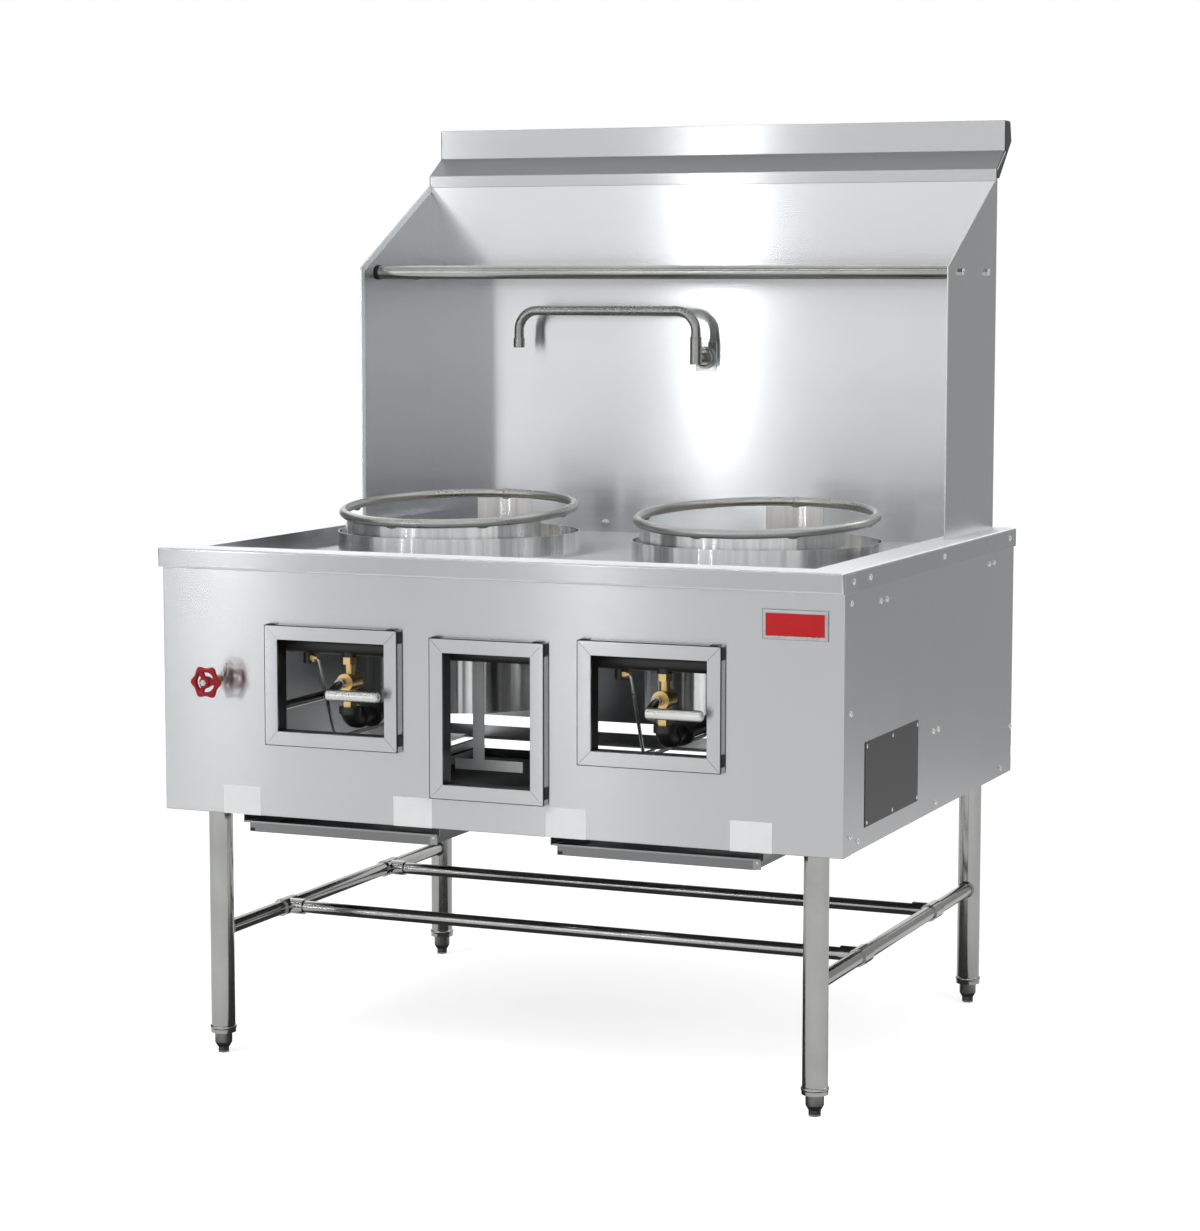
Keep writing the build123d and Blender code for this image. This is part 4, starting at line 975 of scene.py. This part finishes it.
class WOK_OT_gas_line(Operator):
    """Finish the gas pipe, its valves and levers, and the pipes to the burners"""

    bl_idname = "wok.gas_line"
    bl_label = "Gas line"

    def execute(self, context):
        paint_nodes("black_iron", "gas_manifold", "gas_inlet_pipe", "burner_pipes")
        paint_nodes("brass", "left_gas_valve", "right_gas_valve")
        paint_nodes("polished_tube", "left_valve_lever", "right_valve_lever")
        for name in SIDES:
            self.grip_lever(name)
        paint_nodes("aluminium", "pilot_tubes")
        form = bmesh.new()
        nut = mm((0, 0), (6.6, 0), (7.2, 0.8), (7.2, 7.2), (6.6, 8), (0, 8))
        cone = mm((3.1, 8), (5.2, 8), (4.6, 12.5), (3.1, 12.5))
        from_valve, nut_height = 0.0732, 0.700
        for name in SIDES:
            fitting = middle_of(f"{name}_gas_valve").x - from_valve
            place = (fitting, middle_of("gas_manifold").y, nut_height)
            lathe(form, nut, place, RIGHT, 6)
            lathe(form, cone, place, RIGHT, 24)
        make_piece("pilot_nuts", form, "brass", "gas_manifold", (), 30.0)
        return {"FINISHED"}

    def grip_lever(self, name):
        """The thicker grip over a lever's bar, with a domed end."""
        low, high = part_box(f"{name}_valve_lever")
        bar, grip = 0.0075, 0.0092
        start = middle_of(f"{name}_gas_valve").x + 0.006
        reach = high.x - bar - start
        profile = [(0.0, 0.0), (grip * 0.8, 0.0), (grip, 0.0016)]
        for angle in (0.0, 0.3, 0.6, 0.9, 1.2, 1.4):
            profile.append((grip * math.cos(angle), reach + bar * math.sin(angle)))
        profile.append((0.0, reach + bar))
        form = bmesh.new()
        lathe(form, profile, (start, low.y + bar, low.z + bar), RIGHT, 48)
        make_piece(f"{name}_lever_grip", form, "satin_grip", f"{name}_valve_lever", (), 50.0)


class WOK_OT_fire_chambers(Operator):
    """Finish the fire chambers, their linings and burners, the hanger and the drain"""

    bl_idname = "wok.fire_chambers"
    bl_label = "Fire chambers"

    def execute(self, context):
        # The chambers are painted lighter, with upright streaks of painted highlight.
        paint_nodes("rolled_sheet", "left_fire_chamber", "right_fire_chamber")
        paint_nodes("mill_sheet", "centre_hanger")
        paint_nodes("refractory", "chamber_linings")
        paint_nodes("burner_iron", "left_burner", "right_burner")
        paint_nodes("polished_tube", "deck_drain")
        return {"FINISHED"}


class WOK_OT_drip_trays(Operator):
    """Finish the drip trays and their runners"""

    bl_idname = "wok.drip_trays"
    bl_label = "Drip trays"

    def execute(self, context):
        # The trays, their runners and the hems on their fronts are the steel painted darker: painted
        # shade under the front panel.
        paint_nodes("tray_sheet", "left_drip_tray", "right_drip_tray")
        form = cut_form("tray_runners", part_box("left_drip_tray")[0].y + 0.002)
        make_piece("tray_runner_rails", form, "tray_sheet", "tray_runners", ["tray_runners"])
        for name in SIDES:
            self.trim_tray(name, f"{name}_drip_tray")
        return {"FINISHED"}

    def trim_tray(self, name, node):
        """The hem, the slot and the screw on a tray's front; the slot is a dark block of painted shade.
        """
        low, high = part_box(node)
        front, inset = low.y, 0.0008
        form = bmesh.new()
        corner = (low.x + inset, front - 0.0008, high.z - 0.0030)
        block(form, corner, (high.x - inset, front + 0.0016, high.z + 0.0002), 0.0007)
        corner = (high.x - 0.014, front - 0.0006, low.z + 0.001)
        block(form, corner, (high.x - 0.0002, front + 0.0004, high.z - 0.003), 0.0003)
        make_piece(f"{name}_tray_hem", form, "tray_hem", node)
        form = bmesh.new()
        corner = (low.x + 0.010, front - 0.0003, low.z + 0.0015)
        block(form, corner, (low.x + 0.019, front + 0.0003, low.z + 0.0065), 0.0008)
        make_piece(f"{name}_tray_slot", form, "dark_gap", node)
        form = bmesh.new()
        place = (high.x - 0.007, front - 0.0005, high.z - 0.0055)
        pan_head(form, place, FORWARD, 0.0026, 0.0014)
        make_piece(f"{name}_tray_screw", form, "screw_steel", node)


class WOK_OT_stand(Operator):
    """Finish the legs, the rails with their tees, and the levelling feet"""

    bl_idname = "wok.stand"
    bl_label = "Stand"

    def execute(self, context):
        paint_nodes("polished_tube", "legs", "lower_rails", "rail_tees", "leg_inserts")
        paint_nodes("zinc", *(f"{end}_{side}_foot" for end in ("front", "rear") for side in SIDES))
        beads, welds = bmesh.new(), bmesh.new()
        weld = mm((12.7, 0), (15.2, 0.6), (15.6, 2), (14.6, 3.4), (12.7, 4.4))
        weld_height, half_seam, sunk = middle_of("rail_tees").z, 0.004, 0.0022
        rim = mm((0, -0.4), (1.6, 0), (2.2, 1.6), (2.2, 4), (1.4, 5.6), (0, 6.2))
        for centre, half in islands("legs"):
            radius = half.x
            bead = [(radius + out, rise) for out, rise in rim]
            lathe(beads, bead, (centre.x, centre.y, centre.z - half.z - 0.0056), UP, 56)
            inward = -math.copysign(1, centre.y)
            reach = math.sqrt(radius ** 2 - half_seam ** 2) - sunk
            place = (centre.x, centre.y + inward * reach, weld_height)
            lathe(welds, weld, place, (0, inward, 0), 48)
        make_piece("leg_end_beads", beads, "polished_tube", "leg_inserts", (), 50.0)
        make_piece("stretcher_welds", welds, "weld", "lower_rails", (), 80.0)
        return {"FINISHED"}


class WOK_OT_fasteners(Operator):
    """Finish the screws, the rivets and the rack's bolts"""

    bl_idname = "wok.fasteners"
    bl_label = "Fasteners"

    def execute(self, context):
        paint_nodes("screw_steel", "rack_bolts")
        smallest_screw = 0.004
        heads, domes = bmesh.new(), bmesh.new()
        for centre, half in islands("panel_fasteners"):
            side, radius = math.copysign(1, centre.x), half.y
            place = (centre.x - side * half.x, centre.y, centre.z)
            pan_head(heads, place, (side, 0, 0), radius, 2 * half.x, radius > smallest_screw)
        for centre, half in islands("rack_bolts"):
            side = math.copysign(1, centre.x)
            place = (centre.x + side * (half.x - 0.0003), centre.y, centre.z)
            pan_head(domes, place, (side, 0, 0), half.z * 0.96, 0.0032, False)
        make_piece("rack_bolt_domes", domes, "screw_steel", "rack_bolts", (), 30.0)
        make_piece("screw_heads", heads, "screw_steel", "panel_fasteners", ["panel_fasteners"], 30.0)
        return {"FINISHED"}


class WOK_OT_labels(Operator):
    """Make the bare badge, the dark plate and the blank labels"""

    bl_idname = "wok.labels"
    bl_label = "Labels and plates"

    def execute(self, context):
        paint_nodes("dark_plate", "data_plate")
        self.make_badge()
        detail = context.scene.wok_detail
        panel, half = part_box("front_panel")[0], detail.label_width / 2
        for index, middle in enumerate((-0.460, -0.139, 0.137, 0.456)):
            form = bmesh.new()
            corner = (middle - half, panel.y - 0.0003, panel.z + 0.0002)
            block(form, corner, (middle + half, panel.y, panel.z + detail.label_height), 0.0001)
            make_piece(f"blank_label_{index + 1}", form, "paper", "front_panel")
        return {"FINISHED"}

    def make_badge(self):
        """The raised bezel of the badge and its bare field."""
        middle, half = middle_and_half(*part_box("badge_plate"))
        rim, thick, overlap = 0.0065, 2 * half.y, 0.0004
        half_x, half_z = half.x - rim, half.z - rim
        middle.y -= half.y
        profile = [(0.0, thick), (0.0, 0.0010), (0.0006, 0.0003), (0.0014, 0.0)]
        profile += [(rim - 0.0018, 0.0), (rim - 0.0006, 0.0006), (rim, 0.0016), (rim, thick)]
        form = bmesh.new()
        mitred_frame(form, middle, half_x, half_z, profile)
        make_piece("badge_bezel", form, "badge_steel", "badge_plate", ["badge_plate"])
        form = bmesh.new()
        reach_x, reach_z = half_x + overlap, half_z + overlap
        corner = (middle.x - reach_x, middle.y + 0.0006, middle.z - reach_z)
        block(form, corner, (middle.x + reach_x, middle.y + thick, middle.z + reach_z), 0.0002)
        make_piece("badge_field", form, "badge_red", "badge_plate")


class WOK_OT_studio(Operator):
    """Place the camera, the pale floor, the lamps and the cards that the steel mirrors"""

    bl_idname = "wok.studio"
    bl_label = "Studio"

    # Name, centre, size, strength and the axis that the card is square to.
    cards = (
        ("rear_grey_card", (2.6, 2.8, 1.1), (3.4, 2.2), 0.42, "Y"),
        ("left_dark_card", (-4.4, 0.6, 1.5), (6.0, 3.0), 0.16, "X"),
        ("right_grey_card", (4.6, 0.0, 1.5), (5.0, 3.0), 0.30, "X"),
        # The card under the range is a painted shadow on the floor, seen only in the steel.
        ("under_dark_card", (0.0, 0.0, 0.003), (1.25, 1.0), 0.06, "Z"),
        ("front_ceiling_card", (0.0, -2.9, 4.2), (9.0, 3.6), 0.05, "Z"),
        ("high_back_card", (0.0, 4.0, 4.8), (9.0, 1.8), 3.0, "Y"),
        ("overhead_strip", (0.0, -2.6, 4.1), (7.0, 0.24), 9.0, "Z"),
    )

    def execute(self, context):
        studio = context.scene.wok_studio
        context.scene.view_settings.view_transform = "Standard"
        self.place_camera(context, studio)
        self.light_room(context, studio)
        self.lay_floor(studio)
        strip, second_strip = studio.strip_power, 0.62 * studio.strip_power
        self.hang_lamp("key_lamp", (-2.6, -4.2, 4.4), (3.0, 3.0), studio.key_power)
        self.hang_lamp("fill_lamp", (4.2, -2.4, 3.0), (2.2, 2.2), studio.fill_power)
        self.hang_lamp("left_strip", (-7.0, -11.9, 2.4), (0.22, 1.6), strip, True)
        self.hang_lamp("middle_strip", (-4.65, -11.9, 2.4), (0.22, 1.6), second_strip, True)
        for card in self.cards:
            self.stand_card(*card)
        self.stand_card("ceiling_card", (-1.4, 0.5, 3.6), (5.0, 2.8), studio.ceiling_strength, "Z")
        return {"FINISHED"}

    def place_camera(self, context, studio):
        data = bpy.data.cameras.new("photo_camera")
        data.sensor_fit = "AUTO"
        data.sensor_width = 36.0
        data.lens = studio.lens
        camera = new_object("photo_camera", data)
        yaw, pitch = studio.camera_yaw, studio.camera_pitch
        level = math.cos(pitch)
        forward = Vector((-math.sin(yaw) * level, math.cos(yaw) * level, -math.sin(pitch)))
        roll = Matrix.Rotation(studio.camera_roll, 3, "Z").to_quaternion()
        camera.location = studio.camera_place
        camera.rotation_mode = "QUATERNION"
        camera.rotation_quaternion = forward.to_track_quat("-Z", "Y") @ roll
        context.scene.camera = camera

    def seen(self, tree):
        """One where a ray comes from the camera, a mirror or a glass, and zero elsewhere."""
        path = add(tree, "ShaderNodeLightPath").outputs
        either = calc(tree, "MAXIMUM", path["Is Camera Ray"], path["Is Glossy Ray"])
        return calc(tree, "MAXIMUM", either, path["Is Transmission Ray"])

    def light_room(self, context, studio):
        world = context.scene.world = bpy.data.worlds.new("pale_room")
        tree = new_tree(world)
        strength = remap(tree, self.seen(tree), studio.room_light, 1.0, 0.0, 1.0)
        feeds = {"Strength": strength, "Color": (1, 1, 1, 1)}
        background = add(tree, "ShaderNodeBackground", feeds)
        add(tree, "ShaderNodeOutputWorld", {"Surface": background.outputs[0]})

    def lay_floor(self, studio):
        """The floor: grey where light falls on it, and a glow that keeps it near white."""
        material = bpy.data.materials.new("pale_floor")
        tree = new_tree(material)
        diffuse = add(tree, "ShaderNodeBsdfDiffuse", {"Color": (0.8, 0.8, 0.8, 1)})
        glow = remap(tree, self.seen(tree), 0.0, studio.mirror_glow, 0.0, 1.0)
        camera = add(tree, "ShaderNodeLightPath").outputs["Is Camera Ray"]
        rest = remap(tree, camera, 0.0, studio.floor_glow - studio.mirror_glow, 0.0, 1.0)
        emission = add(tree, "ShaderNodeEmission", {"Strength": calc(tree, "ADD", glow, rest)})
        both = add(tree, "ShaderNodeAddShader", {0: diffuse.outputs[0], 1: emission.outputs[0]})
        add(tree, "ShaderNodeOutputMaterial", {"Surface": both.outputs[0]})
        form = bmesh.new()
        bmesh.ops.create_grid(form, x_segments=8, y_segments=8, size=30.0)
        new_object("pale_floor", new_mesh("pale_floor", form, material))

    def hang_lamp(self, name, place, size, power, mirrored=False):
        """An oblong lamp that looks at the range's middle."""
        data = bpy.data.lights.new(name, "AREA")
        data.shape = "RECTANGLE"
        data.size, data.size_y = size
        data.energy = power
        lamp = new_object(name, data)
        middle = (CAD_BOX[0] + CAD_BOX[1]) / 2
        lamp.location = place
        lamp.rotation_mode = "QUATERNION"
        lamp.rotation_quaternion = (middle - Vector(place)).to_track_quat("-Z", "Y")
        lamp.visible_glossy = mirrored

    def stand_card(self, name, centre, size, strength, facing):
        """A plain card that is seen only in the steel, square to one axis."""
        axis, degrees = {"X": ("Y", 90), "Y": ("X", 90), "Z": ("Z", 0)}[facing]
        if facing == "X":
            size = size[::-1]
        turn = Matrix.Rotation(math.radians(degrees), 4, axis)
        form = bmesh.new()
        bmesh.ops.create_grid(form, x_segments=1, y_segments=1, size=0.5)
        form.transform(Matrix.Translation(centre) @ turn @ Matrix.Diagonal((*size, 1.0, 1.0)))
        material = bpy.data.materials.new(name)
        tree = new_tree(material)
        emission = add(tree, "ShaderNodeEmission", {"Strength": strength})
        add(tree, "ShaderNodeOutputMaterial", {"Surface": emission.outputs[0]})
        card = new_object(name, new_mesh(name, form, material))
        for ray in ("camera", "diffuse", "shadow", "transmission"):
            setattr(card, f"visible_{ray}", False)


OPERATORS = (
    WOK_OT_studio,
    WOK_OT_cabinet,
    WOK_OT_window_frames,
    WOK_OT_cooking_rings,
    WOK_OT_backsplash,
    WOK_OT_faucet,
    WOK_OT_water_valve,
    WOK_OT_gas_line,
    WOK_OT_fire_chambers,
    WOK_OT_drip_trays,
    WOK_OT_stand,
    WOK_OT_fasteners,
    WOK_OT_labels,
)


class WOK_PT_panel(Panel):
    """Lists the range's pieces and their settings"""

    bl_idname = "WOK_PT_panel"
    bl_label = "Wok Range"
    bl_space_type = "VIEW_3D"
    bl_region_type = "UI"
    bl_category = "Wok Range"

    def draw(self, context):
        layout = self.layout
        for operator in OPERATORS:
            layout.operator(operator.bl_idname)
        for group in SETTINGS:
            settings = getattr(context.scene, group)
            box = layout.box()
            for key in settings.__annotations__:
                box.prop(settings, key)


SETTINGS = {
    "wok_steel": SteelSettings,
    "wok_paint": PaintSettings,
    "wok_detail": DetailSettings,
    "wok_studio": StudioSettings,
}
CLASSES = (*SETTINGS.values(), *OPERATORS, WOK_PT_panel)


def register():
    for cls in CLASSES:
        bpy.utils.register_class(cls)
    for key, group in SETTINGS.items():
        setattr(bpy.types.Scene, key, PointerProperty(type=group))


def unregister():
    for key in SETTINGS:
        delattr(bpy.types.Scene, key)
    for cls in reversed(CLASSES):
        bpy.utils.unregister_class(cls)


def main():
    register()
    for operator in OPERATORS:
        category, name = operator.bl_idname.split(".")
        getattr(getattr(bpy.ops, category), name)()


if __name__ == "__main__":
    main()
